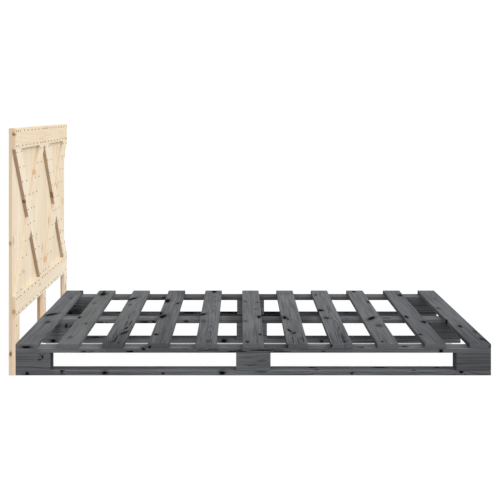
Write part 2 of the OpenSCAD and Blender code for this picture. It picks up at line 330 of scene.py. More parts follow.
# %% [markdown]
# ## Knots
# A knot is the foot of a branch. It is darker and harder than the wood round it, and the rings
# flow round it like water round a stone. One group draws one knot as a stretched ball, and
# passes on what the knots before it did, so a board's knots are a chain. Each knot also lifts
# the rings near it, which bends the grain round it in the same way as in a trunk. A branch cut
# lengthwise leaves a spike knot, which lies on a slant.

# %% One knot as a node group
RING_SWELL, SWELL_FADE = 0.009, -0.16
CORE_START, CORE_FULL = 1.10, 0.80
HALO_START, HALO_END, HALO_SHARE = 2.4, 0.9, 0.30
knot, given, result = group_tree(
    "Knot",
    [("Vector", "Vector"), ("Centre", "Vector"), ("Radii", "Vector"), ("Slant", "Float"),
     ("Strength", "Float"), ("Lift", "Float"), ("Stain", "Float")],
    [("Lift", "Float"), ("Stain", "Float")])
away = add_node(knot, "ShaderNodeVectorMath", {"operation": "SUBTRACT"},
                {0: given["Vector"], 1: given["Centre"]}).outputs[0]
across = add_node(knot, "ShaderNodeSeparateXYZ", None, {0: away}).outputs["Y"]
across = add_node(knot, "ShaderNodeMath", {"operation": "MULTIPLY"},
                  {0: across, 1: given["Slant"]}).outputs[0]
across = add_node(knot, "ShaderNodeCombineXYZ", None, {0: across}).outputs[0]
away = add_node(knot, "ShaderNodeVectorMath", {"operation": "SUBTRACT"}, {0: away, 1: across}).outputs[0]
away = add_node(knot, "ShaderNodeVectorMath", {"operation": "DIVIDE"},
                {0: away, 1: given["Radii"]}).outputs[0]
away = add_node(knot, "ShaderNodeVectorMath", {"operation": "LENGTH"}, {0: away}).outputs["Value"]
core = add_node(knot, "ShaderNodeMapRange", {"interpolation_type": "SMOOTHSTEP"},
                {"Value": away, "From Min": CORE_START, "From Max": CORE_FULL}).outputs[0]
halo = add_node(knot, "ShaderNodeMapRange", {"interpolation_type": "SMOOTHSTEP"},
                {"Value": away, "From Min": HALO_START, "From Max": HALO_END,
                 "To Max": HALO_SHARE}).outputs[0]
dark = add_node(knot, "ShaderNodeMath", {"operation": "MAXIMUM"}, {0: core, 1: halo}).outputs[0]
dark = add_node(knot, "ShaderNodeMath", {"operation": "MULTIPLY"},
                {0: dark, 1: given["Strength"]}).outputs[0]
dark = add_node(knot, "ShaderNodeMath", {"operation": "MAXIMUM"}, {0: dark, 1: given["Stain"]}).outputs[0]
swell = add_node(knot, "ShaderNodeMath", {"operation": "MULTIPLY"}, {0: away, 1: away}).outputs[0]
swell = add_node(knot, "ShaderNodeMath", {"operation": "MULTIPLY"}, {0: swell, 1: SWELL_FADE}).outputs[0]
swell = add_node(knot, "ShaderNodeMath", {"operation": "EXPONENT"}, {0: swell}).outputs[0]
swell = add_node(knot, "ShaderNodeMath", {"operation": "MULTIPLY_ADD"},
                 {0: swell, 1: RING_SWELL, 2: given["Lift"]}).outputs[0]
knot.links.new(swell, result["Lift"])
knot.links.new(dark, result["Stain"])
print("knot:", len(knot.nodes), "nodes")

# %% [markdown]
# ## Ends and arrises
# End grain drinks more stain and oil than a face does, so it dries darker. The arrises, the
# sharp lines where two faces meet, are eased with sandpaper and handled most, so they are a
# touch paler. A board's narrow edges differ a little from its faces too. All three follow from
# how far a point lies from the board's faces: near an end or an edge that one distance is
# small, and near an arris two of the three are.

# %% Ends and arrises as a node group
SKIN, SKIN_FULL, EDGE_FULL = 0.0009, 0.0003, 0.0004
ARRIS_REACH, ARRIS_FULL = 0.0030, 0.0008
sides, given, result = group_tree(
    "Ends and arrises", [("Vector", "Vector"), ("Half size", "Vector")],
    [("End", "Float"), ("Edge", "Float"), ("Arris", "Float")])
depth = add_node(sides, "ShaderNodeVectorMath", {"operation": "ABSOLUTE"}, {0: given["Vector"]}).outputs[0]
depth = add_node(sides, "ShaderNodeVectorMath", {"operation": "SUBTRACT"},
                 {0: given["Half size"], 1: depth}).outputs[0]
to_end, to_edge, to_face = add_node(sides, "ShaderNodeSeparateXYZ", None, {0: depth}).outputs
nearer = add_node(sides, "ShaderNodeMath", {"operation": "MINIMUM"}, {0: to_edge, 1: to_face}).outputs[0]
farther = add_node(sides, "ShaderNodeMath", {"operation": "MAXIMUM"}, {0: to_edge, 1: to_face}).outputs[0]
second = add_node(sides, "ShaderNodeMath", {"operation": "MAXIMUM"}, {0: nearer, 1: to_end}).outputs[0]
second = add_node(sides, "ShaderNodeMath", {"operation": "MINIMUM"}, {0: second, 1: farther}).outputs[0]
end = add_node(sides, "ShaderNodeMapRange", None,
               {"Value": to_end, "From Min": SKIN, "From Max": SKIN_FULL}).outputs[0]
edge = add_node(sides, "ShaderNodeMapRange", None,
                {"Value": to_edge, "From Min": SKIN, "From Max": EDGE_FULL}).outputs[0]
arris = add_node(sides, "ShaderNodeMapRange", {"interpolation_type": "SMOOTHSTEP"},
                 {"Value": second, "From Min": ARRIS_REACH, "From Max": ARRIS_FULL}).outputs[0]
sides.links.new(end, result["End"])
sides.links.new(edge, result["Edge"])
sides.links.new(arris, result["Arris"])
print("ends and arrises:", len(sides.nodes), "nodes")

# %% [markdown]
# ## The two finishes
# The base is sawn pine with a thin grey water stain: matt, slightly blue, with darker rings
# and nearly black knots, because knots and resin take the stain deepest. The headboard is bare
# planed pine: cream early wood, tan late wood, orange-brown knots, and some boards with
# pinker heartwood. Wood reflects little and scatters widely, so the roughness is high. Its IOR
# is that of cellulose, about 1.5, and the fine relief of the late wood is a small bump.
# A finish is a short list of colours and of shares: how much the rings, the streaks and the
# broad tone darken the wood, and how worn the arrises are. Bare pine has a faint gloss from
# the plane, and the stained wood has none.

# %% Values of the finishes
STAINED, BARE = "grey-stained sawn pine", "bare planed pine"
FINISHES = {
    STAINED: {
        "early": "#6b6d6f", "late": "#393a3d", "halo": "#353537", "knot": "#0f0f10", "end": "#606265",
        "arris": "#6c6e71", "ring share": 0.44, "streak share": 1.20, "tone share": 0.60,
        "worn share": 0.10, "roughness": 0.80, "gloss": 0.0, "relief": 0.0004},
    BARE: {
        "early": "#dfd5be", "late": "#c9af87", "halo": "#bb9269", "knot": "#86603f", "end": "#d8bb9a",
        "arris": "#ded1bd", "ring share": 0.45, "streak share": 0.75, "tone share": 0.55,
        "worn share": 0.25, "roughness": 0.60, "gloss": 0.25, "relief": 0.0002},
}
WOOD_IOR = 1.5
print("finishes:", ", ".join(FINISHES))

# %% [markdown]
# ## The knots and rings of one board
# The next four functions each make one layer of a board's material. The first strings the
# board's knots together. A slight noise in the place of the knots makes their rims uneven.
# The second sets the growth rings. Chance says where the pith lies, a few centimetres off the
# board's middle, and for a few slats it is given, because their grain draws arches that are seen.

# %% The knots of one board
KNOT_RAG, RAG_WAVES = 0.010, (45, 70, 70)


def knot_chain(tree, place, shift, knots):
    """How far a board's knots lift the rings, and how dark they make the wood."""
    moved = add_node(tree, "ShaderNodeVectorMath", {"operation": "ADD"}, {0: place, 1: shift}).outputs[0]
    rag = stretched_noise(tree, moved, RAG_WAVES, 2.0, "Color")
    ragged = add_node(tree, "ShaderNodeVectorMath", {"operation": "MULTIPLY_ADD"},
                      {0: rag, 1: (KNOT_RAG * 1.4, KNOT_RAG, KNOT_RAG), 2: place}).outputs[0]
    ragged = add_node(tree, "ShaderNodeVectorMath", {"operation": "SUBTRACT"},
                      {0: ragged, 1: (KNOT_RAG * 0.7, KNOT_RAG / 2, KNOT_RAG / 2)}).outputs[0]
    lift, stain = 0.0, 0.0
    for middle, radii, strength, slant in knots:
        lift, stain = add_node(tree, "ShaderNodeGroup", {"node_tree": knot},
                               {"Vector": ragged, "Centre": middle, "Radii": radii, "Slant": slant,
                                "Strength": strength, "Lift": lift, "Stain": stain}).outputs
    return lift, stain


print("a knot's rim wanders by up to", 500 * KNOT_RAG, "mm across the board")

# %% The growth rings of one board
PITH_ACROSS, PITH_DEPTH, PITH_LEAN = 0.05, (0.03, 0.09), 0.03
RING_SPACING = (0.0050, 0.0075)


def ring_grain(tree, place, shift, lift, dice, pith_aside, trunk):
    """The rings, streaks and tone of a board. Its trunk is (pith, lean) where it isn't left to chance."""
    pith = (0.0, dice.uniform(-PITH_ACROSS, PITH_ACROSS) + pith_aside,
            dice.choice((-1, 1)) * dice.uniform(*PITH_DEPTH))
    lean = (0.0, dice.uniform(-PITH_LEAN, PITH_LEAN), dice.uniform(-PITH_LEAN, PITH_LEAN))
    pith, lean = trunk or (pith, lean)
    return add_node(tree, "ShaderNodeGroup", {"node_tree": rings},
                    {"Vector": place, "Shift": shift, "Pith": pith, "Lean": lean,
                     "Spacing": dice.uniform(*RING_SPACING), "Lift": lift}).outputs


print("rings are", *[f"{1000 * spacing:g}" for spacing in RING_SPACING], "mm apart, at least and at most")

# %% [markdown]
# ## How dark the wood is
# One number says how far a point has gone from the colour of early wood to that of late wood.
# It starts from the board's own shade. Many boards are darker or paler towards their near end,
# and some on their narrow edges, so both can be given. On top of that come the streaks, the
# rings and the broad tone. The rings may be stronger at the near end than at the far end.

# %% The darkness of one board
RINGS_SETTLE = 0.1


def darkness(tree, place, grain, faces, look, half_length, shade, near_end_darkening, narrow_edge_darkening, lines):
    """From 0, early wood, to 1, late wood."""
    along = add_node(tree, "ShaderNodeSeparateXYZ", None, {0: place}).outputs["X"]
    start = shade - 0.5 * look["streak share"]
    if near_end_darkening[0]:
        start = add_node(tree, "ShaderNodeMapRange", None,
                         {"Value": along, "From Min": near_end_darkening[1], "From Max": -half_length,
                          "To Min": start, "To Max": start + near_end_darkening[0]}).outputs[0]
    if narrow_edge_darkening:
        start = add_node(tree, "ShaderNodeMath", {"operation": "MULTIPLY_ADD"},
                         {0: faces["Edge"], 1: narrow_edge_darkening, 2: start}).outputs[0]
    near_share, far_share = (look["ring share"] * share for share in lines)
    ring_share = add_node(tree, "ShaderNodeMapRange", None,
                          {"Value": along, "From Min": -half_length, "From Max": RINGS_SETTLE,
                           "To Min": near_share, "To Max": far_share}).outputs[0]
    dark = add_node(tree, "ShaderNodeMath", {"operation": "MULTIPLY_ADD"},
                    {0: grain["Streak"], 1: look["streak share"], 2: start}).outputs[0]
    dark = add_node(tree, "ShaderNodeMath", {"operation": "MULTIPLY_ADD"},
                    {0: grain["Late wood"], 1: ring_share, 2: dark}).outputs[0]
    return add_node(tree, "ShaderNodeMath", {"operation": "MULTIPLY_ADD", "use_clamp": True},
                    {0: grain["Tone"], 1: look["tone share"], 2: dark}).outputs[0]


print("the rings reach their far strength", RINGS_SETTLE, "m past the board's middle")

# %% [markdown]
# ## The colours, one over the other
# The colour is built up as a finisher would explain it: early wood, then late wood where it is
# dark, worn arrises, the tint of the narrow edges, the soaked ends, and last the brown or black
# of the knots, first their halo and then their heart. Each layer is a share and a colour.

# %% The colour of one board
END_SHARE = 0.6
HALO_FULL, HEART_START, HEART_FULL = 0.45, 0.35, 0.8


def layered_colour(tree, dark, stain, faces, look, tint, edge, has_knots):
    """The colour of the wood, from a list of layers."""
    layers = [(dark, look["late"]),
              (add_node(tree, "ShaderNodeMath", {"operation": "MULTIPLY"},
                        {0: faces["Arris"], 1: look["worn share"]}).outputs[0], look["arris"])]
    if edge:
        layers.append((add_node(tree, "ShaderNodeMath", {"operation": "MULTIPLY"},
                                {0: faces["Edge"], 1: edge[1]}).outputs[0], edge[0]))
    layers.append((add_node(tree, "ShaderNodeMath", {"operation": "MULTIPLY"},
                            {0: faces["End"], 1: END_SHARE}).outputs[0], look["end"]))
    if has_knots:
        for start, full, over in ((0.0, HALO_FULL, look["halo"]), (HEART_START, HEART_FULL, look["knot"])):
            share = add_node(tree, "ShaderNodeMapRange", None,
                             {"Value": stain, "From Min": start, "From Max": full}).outputs[0]
            layers.append((share, over))
    colour = linear(tint or look["early"])
    for share, over in layers:
        colour = add_node(tree, "ShaderNodeMix", {"data_type": "RGBA"},
                          {0: share, 6: colour, 7: linear(over)}).outputs[2]
    return colour


print("a soaked end hides", END_SHARE, "of the wood's own colour")

# %% [markdown]
# ## A board's own material
# The pattern reads Object coordinates, which are the frame of the whole bed. A Mapping node
# turns them into the board's own: x along the grain, y across it, z through the thickness,
# from the board's middle. Dark, late wood is harder than early wood, so it stands a little
# proud, and it is a touch rougher to the light.

# %% A function that makes one board's material
RELIEF_STRENGTH, LATE_ROUGHNESS, NOISE_REACH = 0.35, 0.12, 20


def wood_material(name, finish, centre, turn, half_size, knots, seed, *, shade=0.0, near_end_darkening=(0.0, 0.0),
                  narrow_edge_darkening=0.0, pith_aside=0.0, trunk=None, tint=None, lines=(1.0, 1.0), edge=None):
    """One board's material. Knots are (centre, radii, strength, slant) in its own coordinates."""
    look = FINISHES[finish]
    dice = random.Random(seed)
    material = bpy.data.materials.new(name)
    material.use_nodes = True
    tree = material.node_tree
    bsdf = tree.nodes["Principled BSDF"]
    place = add_node(tree, "ShaderNodeTexCoord").outputs["Object"]
    place = add_node(tree, "ShaderNodeMapping", {"vector_type": "TEXTURE"},
                     {"Vector": place, "Location": centre, "Rotation": turn.to_euler()}).outputs[0]
    shift = tuple(dice.uniform(-NOISE_REACH, NOISE_REACH) for _ in range(3))
    lift, stain = knot_chain(tree, place, shift, knots)
    grain = ring_grain(tree, place, shift, lift, dice, pith_aside, trunk)
    faces = add_node(tree, "ShaderNodeGroup", {"node_tree": sides},
                     {"Vector": place, "Half size": half_size}).outputs
    dark = darkness(tree, place, grain, faces, look, half_size[0], shade, near_end_darkening, narrow_edge_darkening, lines)
    tree.links.new(layered_colour(tree, dark, stain, faces, look, tint, edge, bool(knots)),
                   bsdf.inputs["Base Color"])
    bump = add_node(tree, "ShaderNodeBump", None,
                    {"Height": dark, "Strength": RELIEF_STRENGTH, "Distance": look["relief"]}).outputs[0]
    tree.links.new(bump, bsdf.inputs["Normal"])
    matt = add_node(tree, "ShaderNodeMapRange", None,
                    {"Value": dark, "To Min": look["roughness"],
                     "To Max": look["roughness"] + LATE_ROUGHNESS}).outputs[0]
    tree.links.new(matt, bsdf.inputs["Roughness"])
    bsdf.inputs["IOR"].default_value = WOOD_IOR
    bsdf.inputs["Specular IOR Level"].default_value = look["gloss"]
    return material


print("a board's material is named for its finish and its board, as in", f"{STAINED} slat_1")

# %% [markdown]
# ## A sawn board from Geometry Nodes
# The bed is made of 48 straight boards and blocks, which differ only in their sizes. That is a
# rule, so one Geometry Nodes tree makes them all: a rounded outline is swept along a line. The
# line has a point every few centimetres, which the faces need later, to be a little hollow. It
# stops short of the board's ends by the radius of the arrises, to leave room for a chamfer.

# %% The sawn board's sizes and its line
board_tree = bpy.data.node_groups.new("Sawn board", "GeometryNodeTree")
add_sockets(board_tree, "INPUT", [
    ("Length", "Float"), ("Width", "Float"), ("Thickness", "Float"), ("Edge radius", "Float"),
    ("Ring step", "Float"), ("Hollow", "Float"), ("Seed", "Float"), ("Material", "Material")])
add_sockets(board_tree, "OUTPUT", [("Board", "Geometry")])
given = board_tree.nodes.new("NodeGroupInput").outputs
half = add_node(board_tree, "ShaderNodeMath", {"operation": "MULTIPLY"},
                {0: given["Length"], 1: 0.5}).outputs[0]
half = add_node(board_tree, "ShaderNodeMath", {"operation": "SUBTRACT"},
                {0: half, 1: given["Edge radius"]}).outputs[0]
minus = add_node(board_tree, "ShaderNodeMath", {"operation": "MULTIPLY"}, {0: half, 1: -1.0}).outputs[0]
tip = add_node(board_tree, "ShaderNodeCombineXYZ", None, {0: half}).outputs[0]
tail = add_node(board_tree, "ShaderNodeCombineXYZ", None, {0: minus}).outputs[0]
line = add_node(board_tree, "GeometryNodeCurvePrimitiveLine", None, {"Start": tail, "End": tip}).outputs[0]
steps = add_node(board_tree, "ShaderNodeMath", {"operation": "DIVIDE"},
                 {0: given["Length"], 1: given["Ring step"]}).outputs[0]
steps = add_node(board_tree, "ShaderNodeMath", {"operation": "ADD"}, {0: steps, 1: 2.0}).outputs[0]
line = add_node(board_tree, "GeometryNodeResampleCurve", None, {"Curve": line, "Count": steps}).outputs[0]
line = add_node(board_tree, "GeometryNodeSetCurveNormal", {"mode": "Z_UP"}, {"Curve": line}).outputs[0]
print("the line:", len(board_tree.nodes), "nodes")

# %% The outline swept along it
ARRIS_STEPS = 2
outline = add_node(board_tree, "GeometryNodeCurvePrimitiveQuadrilateral", None,
                   {"Width": given["Width"], "Height": given["Thickness"]}).outputs[0]
outline = add_node(board_tree, "GeometryNodeFilletCurve", {"mode": "POLY"},
                   {"Curve": outline, "Radius": given["Edge radius"], "Count": ARRIS_STEPS}).outputs[0]
body = add_node(board_tree, "GeometryNodeCurveToMesh", None,
                {"Curve": line, "Profile Curve": outline, "Fill Caps": True}).outputs[0]
print("with the outline:", len(board_tree.nodes), "nodes")

# %% [markdown]
# ## The ends of a board
# The sweep ends in two flat caps. They are the only faces that look along the board, so their
# normals tell them from the others. Each cap is pushed out by the radius of the arrises, and its
# corners are drawn in by as much, which leaves a small chamfer all round the end.

# %% Chamfer the ends
LOOKS_ALONG = 0.9
normal = add_node(board_tree, "GeometryNodeInputNormal").outputs[0]
facing = add_node(board_tree, "ShaderNodeSeparateXYZ", None, {0: normal}).outputs["X"]
facing = add_node(board_tree, "ShaderNodeMath", {"operation": "ABSOLUTE"}, {0: facing}).outputs[0]
is_end = add_node(board_tree, "FunctionNodeCompare", {"operation": "GREATER_THAN"},
                  {0: facing, 1: LOOKS_ALONG}).outputs[0]
ends = add_node(board_tree, "GeometryNodeExtrudeMesh", {"mode": "FACES"},
                {"Mesh": body, "Selection": is_end, "Offset Scale": given["Edge radius"]}).outputs
place = add_node(board_tree, "GeometryNodeInputPosition").outputs[0]
inwards = add_node(board_tree, "ShaderNodeVectorMath", {"operation": "SIGN"}, {0: place}).outputs[0]
inwards = add_node(board_tree, "ShaderNodeVectorMath", {"operation": "MULTIPLY"},
                   {0: inwards, 1: (0, -1, -1)}).outputs[0]
chamfer = add_node(board_tree, "ShaderNodeVectorMath", {"operation": "SCALE"},
                   {0: inwards, "Scale": given["Edge radius"]}).outputs[0]
board = add_node(board_tree, "GeometryNodeSetPosition", None,
                 {"Geometry": ends["Mesh"], "Selection": ends["Top"], "Offset": chamfer}).outputs[0]
print("with the ends:", len(board_tree.nodes), "nodes")

# %% [markdown]
# ## Faces that aren't quite flat
# Sawn wood dries unevenly, so its faces are hollow by a few tenths of a millimetre here and
# there. A noise says how far each point is drawn in. It never moves one outwards, so a board
# never grows past its CAD size, and the seed gives each board a hollow of its own.

# %% Hollow the faces and set the material
HOLLOW_WAVES = (6.0, 3.0, 3.0)
moved = add_node(board_tree, "ShaderNodeCombineXYZ", None, {0: given["Seed"], 1: given["Seed"]}).outputs[0]
wander = add_node(board_tree, "ShaderNodeVectorMath", {"operation": "MULTIPLY_ADD"},
                  {0: place, 1: HOLLOW_WAVES, 2: moved}).outputs[0]
wander = add_node(board_tree, "ShaderNodeTexNoise", None,
                  {"Vector": wander, "Scale": 1.0, "Detail": 1.0}).outputs["Fac"]
wander = add_node(board_tree, "ShaderNodeMath", {"operation": "MULTIPLY"},
                  {0: wander, 1: given["Hollow"]}).outputs[0]
hollow = add_node(board_tree, "ShaderNodeVectorMath", {"operation": "SCALE"},
                  {0: inwards, "Scale": wander}).outputs[0]
board = add_node(board_tree, "GeometryNodeSetPosition", None,
                 {"Geometry": board, "Offset": hollow}).outputs[0]
board = add_node(board_tree, "GeometryNodeSetShadeSmooth", None,
                 {0: board, "Shade Smooth": False}).outputs[0]
board = add_node(board_tree, "GeometryNodeRealizeInstances", None, {0: board}).outputs[0]
board = add_node(board_tree, "GeometryNodeSetMaterial", None,
                 {"Geometry": board, "Material": given["Material"]}).outputs[0]
board_tree.links.new(board, board_tree.nodes.new("NodeGroupOutput").inputs[0])
print("sawn board:", len(board_tree.nodes), "nodes")

# %% [markdown]
# ## From a tree to a plain mesh
# A modifier's inputs are set by their identifiers, and then the result is taken off as a plain
# mesh, because the parts library stores meshes and not node trees.

# %% Functions that run a tree and put a piece in place
def grown(name, tree, values, start=None):
    """An object with the mesh that a Geometry Nodes tree makes from these inputs."""
    piece = bpy.data.objects.new(name, start or bpy.data.meshes.new(name))
    scene.collection.objects.link(piece)
    modifier = piece.modifiers.new("tree", "NODES")
    modifier.node_group = tree
    for socket in tree.interface.items_tree:
        if socket.name in values:
            modifier[socket.identifier] = values[socket.name]
    depsgraph = bpy.context.evaluated_depsgraph_get()
    mesh = bpy.data.meshes.new_from_object(piece.evaluated_get(depsgraph), depsgraph=depsgraph)
    piece.modifiers.clear()
    piece.data = mesh
    mesh.name = name
    return piece


def stand_for(piece, node):
    """The piece takes over from its CAD node and rides on the bed."""
    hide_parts(node)
    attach(piece, "root")


sizes = [socket.name for socket in board_tree.interface.items_tree if socket.in_out == "INPUT"]
print("a board's inputs:", ", ".join(sizes))

# %% [markdown]
# ## Where the knots are
# The knots are what the eye knows each board by, so those that can be seen are placed one by one.
# All numbers are in millimetres, but for the last two of a row: how dark the knot is and, for a spike knot,
# its slant. A through knot runs from face to face. Its row says how far it lies along and across the board
# from its middle, and half its length and width. Long, thin ones are splits and dark streaks, and wide,
# faint ones only make the wood darker over a stretch.

# %% Knots that run through the board
THROUGH_KNOTS = {
    "slat_1": [(-21, 8, 26, 24, 1, -1.0), (-213, -8, 31, 14, 0.4), (672, -38, 22, 7, 0.85),
        (452, -15, 31, 8, 0.35), (-600, 0, 120, 60, 0.07), (600, 0, 120, 60, 0.07)],
    "slat_2": [(575, 8, 43, 16, 1), (657, 14, 32, 9, 0.8), (-97, 39, 21, 8, 0.9),
        (300, 20, 26, 7, 0.35), (-250, -14, 26, 7, 0.35), (-560, 12, 29, 10, 0.3)],
    "slat_3": [(428, 24, 29, 21, 0.9, -1.7), (-463, -26, 23, 15, 0.9, -2.5),
        (-356, -23, 23, 8, 0.8, -2.5), (250, 20, 31, 9, 0.35), (-660, 18, 30, 6, 0.3),
        (-600, -3, 75, 3.5, 0.75), (-655, 7, 48, 3, 0.6), (-672, -21, 24, 4, 0.8),
        (-245, -12, 60, 2.5, 0.5), (-235, -31, 60, 2.5, 0.55)],
    "slat_4": [(367, 31, 49, 13, 1), (-69, 23, 44, 16, 1, -1), (5, 38, 39, 6, 0.95),
        (295, -28, 23, 9, 0.7, -1.5), (-499, 24, 20, 9, 0.8)],
    "slat_5": [(657, -4, 35, 13, 1), (590, 0, 110, 60, 0.1), (400, 0, 100, 60, 0.09),
        (-16, 34, 23, 15, 1, -1), (-640, -10, 39, 12, 0.35), (-190, 26, 34, 12, 0.3)],
    "slat_6": [(-82, -35, 29, 9, 1), (-501, -31, 17, 6, 0.8), (-656, 24, 20, 7, 0.7),
        (352, 30, 21, 10, 0.4), (330, -33, 29, 5, 0.4), (130, -20, 21, 7, 0.35),
        (-190, 32, 18, 9, 0.4)],
    "slat_7": [(-100, 30, 36, 10, 1), (-140, 17, 26, 6, 0.6), (610, 0, 80, 60, 0.15),
        (-410, 22, 24, 7, 1, 2.0), (-470, 4, 16, 12, 0.75, -1.5), (-440, 14, 16, 5, 0.6),
        (-590, -22, 18, 7, 0.35), (-615, 14, 72, 2.5, 0.55), (-640, -8, 60, 2.5, 0.4),
        (-600, -30, 80, 3, 0.5)],
    "slat_8": [(95, 35, 26, 15, 1), (-112, 20, 31, 16, 0.45), (556, 28, 26, 7, 0.5),
        (-540, -17, 70, 12, 0.18), (-658, -16, 15, 6, 0.75), (-600, -12, 95, 2.5, 0.6),
        (-590, -19, 85, 2, 0.5)],
    "slat_9": [(-121, 2, 29, 20, 1, -1.6), (-298, -12, 31, 17, 0.38), (660, 8, 23, 9, 0.75),
        (330, -33, 36, 8, 0.5), (-650, 18, 18, 7, 0.5)],
    "slat_10": [(-84, 31, 32, 8, 1), (-503, 32, 15, 7, 0.9), (-210, -31, 29, 10, 1),
        (542, -27, 32, 10, 0.8)],
    "slat_11": [(-316, 11, 26, 7, 0.95), (156, 28, 23, 10, 0.4), (-163, 46, 26, 6, 0.75),
        (-447, -30, 32, 7, 0.5), (-600, -28, 29, 12, 0.5), (-631, -42, 34, 6, 0.9),
        (430, -5, 23, 9, 0.3), (-675, -43, 22, 5, 0.95)],
    "runner_near": [(-805.5, -37, 9, 8, 0.9), (250.5, 18, 16, 7, 0.9), (265.5, -22, 10, 9, 0.5),
        (537.5, 18, 26, 8, 0.95), (785.5, 20, 12, 8, 0.7), (675.5, -30, 11, 9, 0.45),
        (714, 8, 140, 30, 0.12), (514, 8, 100, 30, 0.06), (314, 8, 120, 30, 0.07),
        (-486, 8, 130, 30, 0.09), (-686, 8, 120, 30, 0.08), (-900, 8, 90, 30, 0.07)],
    "bearer_near": [(641.5, -10, 15, 9, 1), (455.5, -18, 14, 12, 0.4), (92, 0, 75, 60, 0.3),
        (355, 5, 55, 60, 0.2), (220, 0, 60, 60, 0.1), (-60, 0, 60, 60, 0.12)],
    "bearer_middle": [(460, -15, 16, 5, 0.8), (651, -15, 16, 6, 0.9), (85, 0, 230, 150, 0.3)],
    "bearer_far": [(20, 0, 260, 150, 0.2), (-640, 10, 12, 6, 0.8)],
    "runner_far": [(110, -5, 52, 26, 1), (-30, 0, 215, 90, 0.34), (-50, 20, 45, 20, 0.8),
        (-327, 0, 40, 24, 1), (-700, 12, 30, 14, 0.8), (520, 4, 22, 12, 0.6), (-85, 12, 90, 40, 0.7)],
    "rear_plank_5": [],
    "rear_plank_6": [(188, -8, 14, 14, 0.44), (87, 5, 12, 7, 0.35)],
    "rear_plank_10": [(-263, -22, 16, 10, 0.42)],
}
print("through knots:", sum(len(knots) for knots in THROUGH_KNOTS.values()))

# %% [markdown]
# ## Knots on the edges and ends
# An edge knot opens on the edge that faces the camera. Its row says how far it lies along the
# board and up from its middle, half its length and height, how dark it is and, where it isn't
# the usual depth, how deep it goes. An end knot shows in the end grain. Its row is the same, but
# starts with how far across the board it lies.

# %% Knots on the edges and ends
# Wide, faint rows here, too, only make the wood darker over a stretch.
EDGE_KNOTS = {
    "runner_near": [(-951.5, -1, 8, 7, 1), (-952, -8, 17, 4, 1), (31, 9, 14, 2.5, 0.4),
        (-624.5, 1, 11, 7, 1), (-379.5, 0, 6, 4, 0.8), (-131.5, 1, 12, 7, 1), (873.5, 6, 9, 6, 1),
        (415.5, 0, 8, 5, 0.5), (-900, 0, 80, 14, 0.17), (-486, 0, 110, 14, 0.07),
        (914, 0, 90, 14, 0.11)],
    "bearer_near": [(-518.5, -4, 14, 5, 1), (-462.5, 6, 10, 4, 1), (-704.5, -8, 26, 4, 0.9),
        (789.5, -2, 8, 7, 1), (-54.5, 3, 10, 4, 0.5), (295.5, -4, 12, 4, 0.5), (-190, 2, 52, 2.5, 0.6),
        (-70, -3, 46, 2.5, 0.75), (40, 2, 60, 3, 0.8), (120, -3, 42, 2.5, 0.6), (-950, 0, 60, 12, 0.18),
        (-430, 0, 240, 40, 0.22, 5), (150, 0, 300, 40, 0.19, 5), (-86, 0, 110, 40, 0.24, 5),
        (-686, 0, 110, 40, 0.06, 5)],
    "block_near_head": [(40, 21, 3.5, 8, 0.8), (29, 10, 9, 3, 0.5), (33, 18, 12, 9, 0.14)],
    "block_near_centre": [(-9, -13, 20, 2.5, 0.4), (-22, 20, 26, 5, 0.15), (38, 5, 25, 4, 0.22)],
    "block_middle_head": [(38, 25, 7, 9, 0.6), (62, 22, 6, 8, 0.6)],
    "block_far_head": [(-39, -32, 15, 7, 1), (-18, -31, 50, 5, 0.6), (-22, -20, 46, 5, 0.6),
        (-8, -10, 40, 3, 0.5), (-25, 7, 40, 2.5, 0.7)],
    "runner_far": [(-30, 0, 215, 40, 0.34, 8), (148, 0, 48, 9, 0.85, 8), (100, 0, 95, 9, 0.8, 8)],
    "runner_middle": [(-950.5, 1, 12, 8, 1), (-132.5, 1, 13, 8, 1), (335.5, 0, 10, 6, 0.6)],
    "bearer_middle": [(-314.5, 0, 12, 6, 0.5), (-514.5, -4, 26, 5, 0.8), (-394.5, 3, 12, 5, 0.8),
        (405.5, 2, 16, 6, 0.6), (-726, -7, 18, 4, 0.9), (-690, -8, 12, 3, 0.8), (-470, -2, 9, 5, 0.8)],
    "bearer_far": [(-717, -7, 16, 4, 0.9), (-556, -7, 14, 4, 0.9), (-513, -8, 20, 4, 0.8),
        (-465, 4, 9, 3, 0.9), (-130, 3, 45, 6, 0.3), (100, 3, 70, 6, 0.3), (-340, -4, 30, 4, 0.4)],
    "rear_plank_1": [(35, 0, 8, 5, 0.5), (-430, 0, 8, 5, 0.95)],
    # The long, faint rows of rear planks 9 and 17 are no knots but painted shade, in the seams beside the
    # middle and far legs.
    "rear_plank_9": [(-333, 0, 90, 9, 0.35)],
    "rear_plank_17": [(-333, 0, 90, 9, 0.25)],
}
END_KNOTS = {
    "slat_1": [(-1, -3.5, 19, 5, 1)],
    "slat_3": [(0, 0, 60, 20, 0.2)],
    "slat_4": [(36, -3, 7, 6, 0.9), (0, 0, 60, 20, 0.2)],
    "slat_7": [(41, 0, 3, 7, 0.8), (0, 0, 60, 20, 0.12)],
    "slat_8": [(42, 2, 4, 5, 0.8)],
    "slat_11": [(-43, -2, 5, 8, 0.9)],
    "top_rail": [(18, -1, 6, 9, 0.7)],
    "bottom_rail": [(-19, -1, 11, 9, 0.4)],
}
print("edge knots:", sum(len(knots) for knots in EDGE_KNOTS.values()))
print("end knots:", sum(len(knots) for knots in END_KNOTS.values()))

# %% [markdown]
# ## Knots by chance
# Boards that have no row among the through knots get a few by chance, from a fixed seed. The
# base shows more knots than the headboard does, so its boards get more of them.

